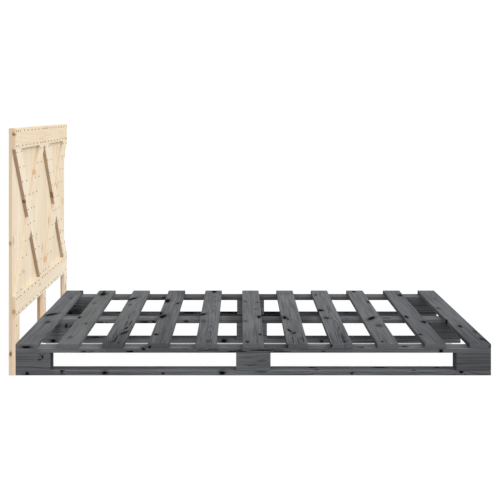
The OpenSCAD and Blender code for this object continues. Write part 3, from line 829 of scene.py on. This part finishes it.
# %% Turn the tables into centres and radii
MM = 0.001
THROUGH_DEPTH, EDGE_DEPTH, END_DEPTH = 60, 30, 18
CHANCE_SEED, CHANCE_WIDTH, CHANCE_STRETCH = 1000, (6, 13), 1.6
CHANCE_ALONG, CHANCE_ACROSS = 0.9, 0.7
CHANCE_COUNT = {STAINED: (1, 2, 3), BARE: (0, 1, 2)}
CHANCE_STRENGTH = {STAINED: (0.5, 1.0), BARE: (0.3, 0.8)}


def knots_of(node, half_size, finish, seed):
    """A board's knots as (centre, radii, strength, slant), listed where the tables have them."""
    half_length, half_width = half_size[0] / MM, half_size[1] / MM
    near_edge = half_width if node.startswith("rear") else -half_width
    found = [((a, c, 0), (la, lc, THROUGH_DEPTH), s, *(slant or [0.0]))
             for a, c, la, lc, s, *slant in THROUGH_KNOTS.get(node, [])]
    found += [((a, near_edge, u), (la, *(deep or [EDGE_DEPTH]), lu), s, 0.0)
              for a, u, la, lu, s, *deep in EDGE_KNOTS.get(node, [])]
    found += [((-half_length, c, u), (END_DEPTH, lc, lu), s, 0.0)
              for c, u, lc, lu, s in END_KNOTS.get(node, [])]
    if node not in THROUGH_KNOTS:
        dice = random.Random(seed + CHANCE_SEED)
        for _ in range(dice.choice(CHANCE_COUNT[finish])):
            width = dice.uniform(*CHANCE_WIDTH)
            spot = (dice.uniform(-CHANCE_ALONG, CHANCE_ALONG) * half_length,
                    dice.uniform(-CHANCE_ACROSS, CHANCE_ACROSS) * half_width, 0)
            strength = dice.uniform(*CHANCE_STRENGTH[finish])
            found.append((spot, (width * CHANCE_STRETCH, width, THROUGH_DEPTH), strength, 0.0))
    return [(Vector(centre) * MM, Vector(radii) * MM, strength, slant)
            for centre, radii, strength, slant in found]


print("boards with through knots of their own:", len(THROUGH_KNOTS))

# %% [markdown]
# ## What sets one board apart
# Boards of one batch still differ in tone and grain, and the eye soon misses that. The next table
# first has what a kind of board has in common, and then what a single board has of its own:
#
# - shade: how much darker the whole board is than its finish, or paler where it is negative,
# - lines: how strong the growth rings are at its near end and at its far end,
# - near_end_darkening: how much darker its near end is, and how many metres from its middle that starts,
# - narrow_edge_darkening: how much darker its narrow edges are,
# - trunk or pith_aside: where the pith of its trunk lay and how it leaned, or only how far aside,
# - tint: the colour of its early wood,
# - edge: the colour of its narrow edges, and how strong that is.

# %% The looks of the boards
DARKENING_START = -0.1
BOARD_LOOKS = {
    "runner": {"lines": (1.2, 1.2)},
    "block": {"lines": (1.9, 1.9)},
    "bearer": {"lines": (1.1, 1.1), "tint": "#747678"},
    "slat": {"narrow_edge_darkening": 0.1},
    "bottom": {"lines": (0.6, 0.6)},
    "rear": {"edge": ("#cfb798", 0.55)},
    "runner_far": {"shade": 0.22, "near_end_darkening": (-0.4, -0.4)},
    "runner_middle": {"shade": 0.08, "near_end_darkening": (-0.3, 0.1), "narrow_edge_darkening": -0.08, "tint": "#747678"},
    # Painted light: the near runner is made paler all over, to lift its top out of the shade of the bearer
    # above, and its front and back are darkened back.
    "runner_near": {"shade": -0.11, "lines": (0.8, 0.8), "narrow_edge_darkening": 0.4, "tint": "#7c7e80"},
    "block_far_centre": {"shade": -0.2},
    "block_far_foot": {"shade": 0.27},
    "block_far_head": {"shade": 0.2},
    "block_middle_centre": {"shade": -0.15, "tint": "#747678"},
    "block_middle_foot": {"shade": 0.15},
    "block_middle_head": {"shade": -0.2, "tint": "#747678"},
    "block_near_centre": {"shade": 0.05, "lines": (0.55, 0.55)},
    "block_near_foot": {"shade": 0.26},
    "block_near_head": {"shade": 0.05, "lines": (1.2, 1.2)},
    "bearer_far": {"shade": 0.27, "near_end_darkening": (-0.4, -0.5)},
    "bearer_middle": {"shade": 0.12, "near_end_darkening": (-0.3, 0.1), "narrow_edge_darkening": -0.1},
    "bearer_near": {"shade": 0.18, "near_end_darkening": (-0.38, -0.6), "narrow_edge_darkening": -0.08},
    "slat_1": {"shade": -0.12, "near_end_darkening": (0.15, DARKENING_START), "pith_aside": 0.12},
    "slat_2": {"shade": -0.04, "lines": (0.8, 0.8), "near_end_darkening": (0.15, DARKENING_START),
        "pith_aside": 0.14},
    "slat_3": {"shade": 0.02, "lines": (2.4, 0.6), "near_end_darkening": (0.36, 0.05),
        "trunk": ((0, -0.018, -0.0115), (0, 0, -0.03))},
    "slat_4": {"shade": 0.14, "near_end_darkening": (0.25, DARKENING_START), "pith_aside": -0.14},
    "slat_5": {"shade": 0.08, "lines": (0.9, 0.9), "near_end_darkening": (0.24, -0.4),
        "trunk": ((0, -0.01, -0.0184), (0, 0, -0.03))},
    "slat_6": {"shade": 0.05, "near_end_darkening": (0.25, DARKENING_START), "pith_aside": 0.16},
    "slat_7": {"lines": (0.9, 0.9), "near_end_darkening": (0.36, DARKENING_START),
        "trunk": ((0, 0.012, -0.02), (0, 0, -0.012))},
    "slat_8": {"shade": 0.04, "lines": (1.3, 0.8), "near_end_darkening": (0.34, DARKENING_START),
        "trunk": ((0, -0.012, -0.0126), (0, 0, -0.03))},
    "slat_9": {"shade": 0.1, "lines": (0.7, 0.7), "near_end_darkening": (0.14, DARKENING_START), "pith_aside": 0.14},
    "slat_10": {"shade": 0.26, "lines": (0.8, 0.8), "near_end_darkening": (0.1, DARKENING_START),
        "pith_aside": -0.12},
    "slat_11": {"shade": 0.1, "near_end_darkening": (0.35, DARKENING_START), "pith_aside": 0.15},
    "bottom_rail": {"shade": -0.12},
    # The legs' narrow edges are painted paler and oranger than their faces: partly the wood's own tone, and
    # partly painted light that lifts the shade under the bottom rail.
    "leg_board_far": {"edge": ("#e8cbaf", 0.8)},
    "leg_board_middle": {"edge": ("#f0cfb1", 0.9)},
    "leg_board_near": {"edge": ("#e4c9ae", 0.7)},
}
PINE_TINTS = ["#dfd3be", "#e0d6c4", "#dcd0ba", "#dfd1ba", "#e1d8c7", "#dccdb5"]
print(len(BOARD_LOOKS), "rows of looks and", len(PINE_TINTS), "tints of bare pine")

# %% [markdown]
# ## Saw the boards
# Each board's box comes from the CAD model. Only the direction of its grain has to be told:
# along the bed for the runners, blocks and bearers, across it for the slats and rails, and
# upwards for the headboard's planks and legs. The piece is made along x, then turned and moved
# in its mesh, so that its object stays at the origin. Sawn boards have rounder arrises than
# planed ones.

# %% Directions of the boards
ALONG_BED = Matrix.Identity(3)
ACROSS_BED = Matrix(((0, -1, 0), (1, 0, 0), (0, 0, 1)))
RAIL_WISE = Matrix(((0, 0, 1), (1, 0, 0), (0, 1, 0)))
UPWARDS = Matrix(((0, 0, 1), (0, -1, 0), (1, 0, 0)))
GRAIN = {"runner": ALONG_BED, "block": ALONG_BED, "bearer": ALONG_BED, "slat": ACROSS_BED,
         "rear": UPWARDS, "leg": UPWARDS, "top": RAIL_WISE, "bottom": RAIL_WISE}
BASE_KINDS = ("runner", "block", "bearer", "slat")
straight = [n for n in sorted(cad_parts) if n.split("_")[0] in GRAIN and not n.endswith("nails")]
print(len(straight), "straight boards in", len(set(n.split("_")[0] for n in straight)), "kinds")

# %% Make every straight board
SAWN_RADIUS, PLANED_RADIUS, HOLLOW, RING_STEP = 0.0012, 0.0006, 0.0003, 0.05
boards = {}
for seed, node in enumerate(straight):
    kind = node.split("_")[0]
    stained = kind in BASE_KINDS
    finish = STAINED if stained else BARE
    low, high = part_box(node)
    turn, centre = GRAIN[kind], (low + high) / 2
    size = Vector(abs(v) for v in turn.transposed() @ (high - low))
    looks = {**BOARD_LOOKS.get(kind, {}), **BOARD_LOOKS.get(node, {})}
    if not stained:
        looks["tint"] = PINE_TINTS[seed % len(PINE_TINTS)]
    material = wood_material(f"{finish} {node}", finish, centre, turn, size / 2,
                             knots_of(node, size / 2, finish, seed), seed, **looks)
    piece = grown(f"{node}_wood", board_tree, {
        "Length": size.x, "Width": size.y, "Thickness": size.z,
        "Edge radius": SAWN_RADIUS if stained else PLANED_RADIUS,
        "Ring step": RING_STEP, "Hollow": HOLLOW, "Seed": float(seed), "Material": material})
    piece.data.transform(Matrix.Translation(centre) @ turn.to_4x4())
    stand_for(piece, node)
    boards[node] = piece
print(len(boards), "boards,", sum(len(b.data.polygons) for b in boards.values()), "faces")

# %% [markdown]
# ## The braces
# The six brace boards are sawn on the slant, so the sweep of a rectangle can't make them. Each
# is an outline in the plane of the headboard. The falling brace of a cross is whole, and the
# rising one is two halves that butt against it. A brace fills its cell from corner to corner.
# Its ends are sawn level with the rails, and how long that cut is follows from the width of the
# board and the size of the cell.

# %% Outlines of the braces
CELL_LOW, CELL_HIGH, CELL_WIDTH, BRACE_WIDTH = 0.331, 0.950, 0.700, 0.090
cell_height = CELL_HIGH - CELL_LOW
room = cell_height ** 2 - BRACE_WIDTH ** 2
cut = (math.sqrt(BRACE_WIDTH ** 4 * CELL_WIDTH ** 2
                 + room * BRACE_WIDTH ** 2 * (cell_height ** 2 + CELL_WIDTH ** 2))
       - BRACE_WIDTH ** 2 * CELL_WIDTH) / room
run = (CELL_WIDTH - cut) / cell_height
whole = [(-CELL_WIDTH / 2, cell_height / 2), (cut - CELL_WIDTH / 2, cell_height / 2),
         (CELL_WIDTH / 2, -cell_height / 2), (CELL_WIDTH / 2 - cut, -cell_height / 2)]
lower = [(-CELL_WIDTH / 2, -cell_height / 2), (cut - CELL_WIDTH / 2, -cell_height / 2),
         (0, -cut / (2 * run)), (-cut / 2, 0)]
upper = [(-u, -z) for u, z in lower]
print("a brace is sawn level over", round(cut / MM, 1), "mm")

# %% A function that shapes a brace
front_low, front_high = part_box("top_rail")
thickness = front_high.x - front_low.x


def brace_mesh(name, outline, middle):
    """A brace from its outline round a middle: as thick as the rail, with eased arrises."""
    form = bmesh.new()
    face = form.faces.new([form.verts.new((front_low.x, middle.y + u, middle.z + z)) for u, z in outline])
    pushed = bmesh.ops.extrude_face_region(form, geom=[face])["geom"]
    bmesh.ops.translate(form, vec=(thickness, 0, 0),
                        verts=[part for part in pushed if isinstance(part, bmesh.types.BMVert)])
    bmesh.ops.recalc_face_normals(form, faces=form.faces)
    bmesh.ops.bevel(form, geom=list(form.edges), offset=PLANED_RADIUS, segments=ARRIS_STEPS,
                    profile=0.5, affect="EDGES", clamp_overlap=True)
    mesh = bpy.data.meshes.new(name)
    form.to_mesh(mesh)
    form.free()
    return mesh


print("the braces are", round(thickness / MM, 1), "mm thick")

# %% [markdown]
# ## The braces' knots and edges
# The braces' knots have a table of their own, with rows like those of the through knots. Their long edges
# are painted browner than their faces, partly the wood's own tone and partly painted shade: most on the
# whole braces, whose seen edge faces down, and less on the halves, whose seen edge faces the lamp.
# A brace's own x runs along its slant. Its sawn ends aren't square to that, so they are kept out
# of the reach of the end stain: the board is taken to be far longer than it is.

# %% Make the braces
BRACE_KNOTS = {
    "near_brace": [(-142, -45, 9, 9, 0.85), (170, 14, 10, 8, 0.35)],
    "near_brace_lower_half": [(-300, -8, 11, 8, 0.4)],
    "near_brace_upper_half": [(215, 45, 14, 10, 0.28), (105, 29, 9, 7, 0.4)],
    "far_brace": [(-107, -45, 22, 9, 0.55), (210, -12, 11, 9, 0.4)],
    "far_brace_lower_half": [(-385, 45, 18, 12, 0.3)],
    "far_brace_upper_half": [(70, 45, 14, 9, 0.3), (290, 10, 10, 8, 0.3)],
}
# Edge colours of the braces: the wood's tone, with painted shade on the long edges.
BRACE_EDGE_TONE_AND_SHADE = {"near_brace": ("#c4a58c", 0.8), "far_brace": ("#cfb59a", 0.8)}
HALF_BRACE_EDGE_TONE_AND_SHADE = ("#cabeac", 0.8)
BRACE_SEED, PAST_THE_ENDS = 100, 0.6
through = Vector((1, 0, 0))
for number, (side, middle_y) in enumerate((("near", -CELL_WIDTH / 2), ("far", CELL_WIDTH / 2))):
    middle = Vector(((front_low.x + front_high.x) / 2, middle_y, (CELL_LOW + CELL_HIGH) / 2))
    for part, outline, fall in (("brace", whole, -1), ("brace_lower_half", lower, 1),
                                ("brace_upper_half", upper, 1)):
        node = f"{side}_{part}"
        seed = BRACE_SEED + 3 * number + len(part)
        along = Vector((0, run, fall)).normalized()
        turn = Matrix((along, through.cross(along), through)).transposed()
        half_size = Vector((PAST_THE_ENDS, BRACE_WIDTH / 2, thickness / 2))
        knots = [(Vector((a, c, 0)) * MM, Vector((la, lc, THROUGH_DEPTH)) * MM, strength, 0.0)
                 for a, c, la, lc, strength in BRACE_KNOTS[node]]
        mesh = brace_mesh(f"{node}_wood", outline, middle)
        mesh.materials.append(wood_material(
            f"{BARE} {node}", BARE, middle, turn, half_size, knots, seed,
            tint=PINE_TINTS[(seed + 1) % len(PINE_TINTS)], edge=BRACE_EDGE_TONE_AND_SHADE.get(node, HALF_BRACE_EDGE_TONE_AND_SHADE)))
        piece = bpy.data.objects.new(f"{node}_wood", mesh)
        scene.collection.objects.link(piece)
        stand_for(piece, node)
        boards[node] = piece
print(len(boards), "boards with the braces")

# %% [markdown]
# ## The metals of nails and screws
# The headboard's nails are drawn iron wire with struck heads, which look dull and dark brown.
# Those of the base are taken to be the same iron under the grey stain, so they show little
# metal. The screws are steel with a thin plating of zinc, a cold light grey with a soft sheen.
# All three are blotchy: a noise of about 4 mm changes the tone and the roughness, and raises
# the surface a little. Real blotches are finer, but would not show on a head of 7 mm.

# %% Metals of the fasteners
METALS = {
    "dull iron nail": ("#4a3c2e", 0.80, 0.55),
    "grey-stained iron nail": ("#4a4b4d", 0.30, 0.65),
    "zinc-plated steel screw": ("#b9bcc0", 1.0, 0.38),
}
BLOTCH_WAVES, BLOTCH_TONE = (260, 260, 260), 0.7
SMOOTHER, ROUGHER = 0.1, 0.15
BLOTCH_STRENGTH, BLOTCH_HEIGHT = 0.3, 0.0002


def metal_material(name):
    """A blotchy metal, from its row of colour, metallic share and roughness."""
    tone, metallic, roughness = METALS[name]
    material = bpy.data.materials.new(name)
    material.use_nodes = True
    tree = material.node_tree
    bsdf = tree.nodes["Principled BSDF"]
    place = add_node(tree, "ShaderNodeTexCoord").outputs["Object"]
    blotch = stretched_noise(tree, place, BLOTCH_WAVES, 3.0)
    base = linear(tone)
    colour = add_node(tree, "ShaderNodeMix", {"data_type": "RGBA"},
                      {0: blotch, 6: (*[v * BLOTCH_TONE for v in base[:3]], 1), 7: base}).outputs[2]
    tree.links.new(colour, bsdf.inputs["Base Color"])
    rough = add_node(tree, "ShaderNodeMapRange", None,
                     {"Value": blotch, "To Min": roughness - SMOOTHER,
                      "To Max": roughness + ROUGHER}).outputs[0]
    tree.links.new(rough, bsdf.inputs["Roughness"])
    bsdf.inputs["Metallic"].default_value = metallic
    bump = add_node(tree, "ShaderNodeBump", None, {
        "Height": blotch, "Strength": BLOTCH_STRENGTH, "Distance": BLOTCH_HEIGHT}).outputs[0]
    tree.links.new(bump, bsdf.inputs["Normal"])
    return material


print("metals:", ", ".join(METALS))

# %% [markdown]
# ## The profile of a nail
# A nail is turned round its own axis, so it is a lathe profile: a circle swept down a straight
# line, wider or narrower at each stop. Each stop has a height above the wood and a radius, and
# both are sums of shares of the nail's sizes. The heights have to fall from stop to stop, because
# a line that turns back would turn the skin inside out. So even a flat head falls by a hair.

# %% The nail's sizes and its stops
SIDES = 12
NAIL_STOPS = [
    ({"Dome": 1.0}, {"Crown radius": 1.0}),
    ({"Head thickness": -0.02, "Dome": 0.85}, {"Head radius": 0.6}),
    ({"Head thickness": -0.04, "Dome": 0.45}, {"Head radius": 0.9}),
    ({"Head thickness": -0.06}, {"Head radius": 1.0}),
    ({"Head thickness": -0.95}, {"Head radius": 1.0}),
    ({"Head thickness": -1.0}, {"Head radius": 0.9}),
    ({"Head thickness": -1.0, "Neck": -1.0}, {"Shank radius": 1.0}),
    ({"Length": -1.0, "Shank radius": 4.0}, {"Shank radius": 1.0}),
    ({"Length": -1.0}, {"Shank radius": 0.25}),
]
nail_tree = bpy.data.node_groups.new("Nail on every point", "GeometryNodeTree")
add_sockets(nail_tree, "INPUT", [
    ("Points", "Geometry"), ("Head radius", "Float"), ("Dome", "Float"), ("Head thickness", "Float"),
    ("Shank radius", "Float"), ("Length", "Float"), ("Neck", "Float"), ("Crown radius", "Float"),
    ("Material", "Material")])
add_sockets(nail_tree, "OUTPUT", [("Nails", "Geometry")])
given = nail_tree.nodes.new("NodeGroupInput").outputs
print("a nail has", len(NAIL_STOPS), "stops and", SIDES, "sides")

# %% Turn the profile
stop = add_node(nail_tree, "GeometryNodeInputIndex").outputs[0]
profile = []
for sums in zip(*NAIL_STOPS):
    switch = add_node(nail_tree, "GeometryNodeIndexSwitch", {"data_type": "FLOAT"}, {"Index": stop})
    while len(switch.index_switch_items) < len(NAIL_STOPS):
        switch.index_switch_items.new()
    for number, shares in enumerate(sums):
        total = 0.0
        for name, factor in shares.items():
            total = add_node(nail_tree, "ShaderNodeMath", {"operation": "MULTIPLY_ADD"},
                             {0: given[name], 1: factor, 2: total}).outputs[0]
        nail_tree.links.new(total, switch.inputs[number + 1])
    profile.append(switch.outputs[0])
height, radius = profile
line = add_node(nail_tree, "GeometryNodeMeshLine", None, {"Count": len(NAIL_STOPS)}).outputs[0]
upright = add_node(nail_tree, "ShaderNodeCombineXYZ", None, {2: height}).outputs[0]
line = add_node(nail_tree, "GeometryNodeSetPosition", None,
                {"Geometry": line, "Position": upright}).outputs[0]
line = add_node(nail_tree, "GeometryNodeMeshToCurve", None, {"Mesh": line}).outputs[0]
circle = add_node(nail_tree, "GeometryNodeCurvePrimitiveCircle", None,
                  {"Resolution": SIDES, "Radius": 1.0}).outputs[0]
nail = add_node(nail_tree, "GeometryNodeCurveToMesh", None,
                {"Curve": line, "Profile Curve": circle, "Scale": radius, "Fill Caps": True}).outputs[0]
print("one nail:", len(nail_tree.nodes), "nodes")

# %% [markdown]
# ## A nail on every point
# The same tree sets a copy of the nail on every point that it is given. Each point carries an
# arrow, its aim, and the copy's axis is turned to lie along it.

# %% Set a copy on every point
aim = add_node(nail_tree, "GeometryNodeInputNamedAttribute", {"data_type": "FLOAT_VECTOR"},
               {"Name": "aim"}).outputs[0]
turned = add_node(nail_tree, "FunctionNodeAlignRotationToVector", {"axis": "Z"}, {"Vector": aim}).outputs[0]
nails = add_node(nail_tree, "GeometryNodeInstanceOnPoints", None,
                 {"Points": given["Points"], "Instance": nail, "Rotation": turned}).outputs[0]
nails = add_node(nail_tree, "GeometryNodeRealizeInstances", None, {0: nails}).outputs[0]
nails = add_node(nail_tree, "GeometryNodeSetMaterial", None,
                 {"Geometry": nails, "Material": given["Material"]}).outputs[0]
nail_tree.links.new(nails, nail_tree.nodes.new("NodeGroupOutput").inputs[0])
print("nail on every point:", len(nail_tree.nodes), "nodes")

# %% [markdown]
# ## Read where the heads are
# A CAD fastener's head ends in a flat disc, so its points lie in one plane. They are sorted
# into groups that are closer together than a head is wide, and each group's middle is a place.

# %% Find the middles of the heads in a plane
IN_PLANE, HEAD_REACH = 2e-5, 0.0095


def head_places(node, axis, level):
    """The middles of the heads of a fastener node that end in the plane where axis is level."""
    spots = []
    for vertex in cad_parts[node].data.vertices:
        if abs(vertex.co[axis] - level) < IN_PLANE:
            near = next((s for s in spots if (s[0] - vertex.co).length < HEAD_REACH), None)
            if near is None:
                spots.append([vertex.co.copy(), vertex.co.copy(), vertex.co.copy()])
            else:
                near[1] = Vector(map(min, near[1], vertex.co))
                near[2] = Vector(map(max, near[2], vertex.co))
    return [(low + high) / 2 for _, low, high in spots]


HEAD_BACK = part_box("headboard_screws")[0].x
screw_places = head_places("headboard_screws", 0, HEAD_BACK)
print(len(screw_places), "screws in the headboard's legs")

# %% [markdown]
# ## The four sets of fasteners
# The headboard's nails have round, domed heads that stand proud. Those of the base are driven
# nearly flush, and were stained with the boards. Nails also hold the blocks, from above and from
# below. Each row has the metal, its name in the parts library, the planes in which the heads end
# with their aim, and the sizes in metres.

# %% Sizes of the nails and screws
HEAD_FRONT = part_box("headboard_nails")[1].x
SLAT_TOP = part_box("slat_nails")[1].z
BEARER_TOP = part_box("block_nails")[1].z
UP, DOWN, TO_FOOT, TO_WALL = (0, 0, 1), (0, 0, -1), (1, 0, 0), (-1, 0, 0)
NAIL = {"Head radius": 0.0035, "Dome": 0.0, "Head thickness": 0.0012, "Crown radius": 0.0009,
        "Shank radius": 0.0014, "Neck": 0.0002}
SCREW = {"Head radius": 0.0045, "Dome": 0.0, "Head thickness": 0.0003, "Crown radius": 0.0015,
         "Shank radius": 0.0025, "Neck": 0.002, "Length": 0.079}
FASTENERS = {
    "headboard_nails": ("dull iron nail", "nail_steel", [(0, HEAD_FRONT, TO_FOOT)],
                        {**NAIL, "Dome": 0.0020, "Length": 0.026}),
    "slat_nails": ("grey-stained iron nail", "stained_nail_steel", [(2, SLAT_TOP, UP)],
                   {**NAIL, "Dome": 0.0004, "Length": 0.035}),
    "block_nails": ("grey-stained iron nail", "stained_nail_steel",
                    [(2, BEARER_TOP, UP), (2, 0.0, DOWN)], {**NAIL, "Length": 0.051}),
    "headboard_screws": ("zinc-plated steel screw", "zinc_plated_steel",
                         [(0, HEAD_BACK, TO_WALL)], SCREW),
}
print("fasteners:", ", ".join(FASTENERS))

# %% [markdown]
# ## A socket in every screw
# The screws are driven with a six-sided key, so each has a six-sided socket. The crown of the
# head is a small disc of twelve points. They are moved onto a hexagon round the same middle, and
# a copy of that hexagon, a touch narrower, is sunk into the head.

# %% A function that sinks the sockets
SOCKET_SIDES, SOCKET_DEPTH, SOCKET_TAPER, ON_CROWN = 6, 0.0016, 0.9, 1e-6


def sink_sockets(mesh):
    """Sinks a socket into the crown of every screw. The heads face the wall, along -x."""
    form = bmesh.new()
    form.from_mesh(mesh)
    crowns = [face for face in form.faces if len(face.verts) == SIDES
              and all(abs(v.co.x - HEAD_BACK) < ON_CROWN for v in face.verts)]
    half_side = math.radians(180 / SOCKET_SIDES)
    for crown in crowns:
        middle = crown.calc_center_median()
        for vertex in crown.verts:
            arm = vertex.co - middle
            from_flat = math.atan2(arm.z, arm.y) % math.radians(360 / SOCKET_SIDES) - half_side
            vertex.co = middle + arm * math.cos(half_side) / math.cos(from_flat)
    for bottom in bmesh.ops.extrude_discrete_faces(form, faces=crowns)["faces"]:
        middle = bottom.calc_center_median()
        for vertex in bottom.verts:
            vertex.co = middle + SOCKET_TAPER * (vertex.co - middle) + Vector((SOCKET_DEPTH, 0, 0))
    form.to_mesh(mesh)
    form.free()
    return len(crowns)


print("a socket has", SOCKET_SIDES, "sides and is", round(SOCKET_DEPTH / MM, 1), "mm deep")

# %% Set the nails and screws
for node, (metal, slot, planes, sizes) in FASTENERS.items():
    places, aims = [], []
    for axis, level, aim in planes:
        found = head_places(node, axis, level)
        places += found
        aims += [aim] * len(found)
    points = bpy.data.meshes.new(node)
    points.from_pydata(places, [], [])
    arrows = points.attributes.new("aim", "FLOAT_VECTOR", "POINT").data
    arrows.foreach_set("vector", [v for a in aims for v in a])
    piece = grown(f"{node}_metal", nail_tree, {**sizes, "Material": metal_material(metal)}, points)
    if node == "headboard_screws":
        print(sink_sockets(piece.data), "sockets sunk")
    stand_for(piece, node)
    print(node, len(places), "places,", len(piece.data.polygons), "faces")

# %% [markdown]
# ## Countersinks in the legs
# A flat-headed screw is driven flush, into a shallow recess cut for it. The legs are whole boards
# so far, and their faces would close over the sockets. A Boolean cuts the recesses out, a touch
# wider than the heads, which leaves the thin dark line that is seen round a real one.

# %% Cut the countersinks
COUNTERSINK_RADIUS, COUNTERSINK_DEPTH, COUNTERSINK_SIDES = 0.0047, 0.0024, 24
TO_X = Matrix.Rotation(math.radians(90), 4, "Y")
for node, board in boards.items():
    low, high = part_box(node)
    inside = [p for p in screw_places
              if low.x - MM < p.x < high.x and low.y < p.y < high.y and low.z < p.z < high.z]
    if not inside:
        continue
    form = bmesh.new()
    for place in inside:
        bmesh.ops.create_cone(form, cap_ends=True, segments=COUNTERSINK_SIDES, radius1=COUNTERSINK_RADIUS,
                              radius2=COUNTERSINK_RADIUS, depth=2 * COUNTERSINK_DEPTH,
                              matrix=Matrix.Translation(place) @ TO_X)
    cutter = bpy.data.objects.new("cutter", bpy.data.meshes.new("cutter"))
    form.to_mesh(cutter.data)
    form.free()
    scene.collection.objects.link(cutter)
    recess = board.modifiers.new("recess", "BOOLEAN")
    recess.object = cutter
    recess.solver = "EXACT"
    depsgraph = bpy.context.evaluated_depsgraph_get()
    board.data = bpy.data.meshes.new_from_object(board.evaluated_get(depsgraph), depsgraph=depsgraph)
    board.modifiers.clear()
    bpy.data.objects.remove(cutter)
    print(node, "has", len(inside), "countersinks,", len(board.data.polygons), "faces")

# %% [markdown]
# ## Two boxes to compare
# The dressed bed has to be just as large as the CAD model, or it would not fit beside the other parts of
# the library. So the boxes of both are printed side by side.

# %% Print the two boxes
size = {"cad": [list(c) for c in cad_box], "visual": [list(c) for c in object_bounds()]}
print("CAD box", size["cad"], "visual box", size["visual"])
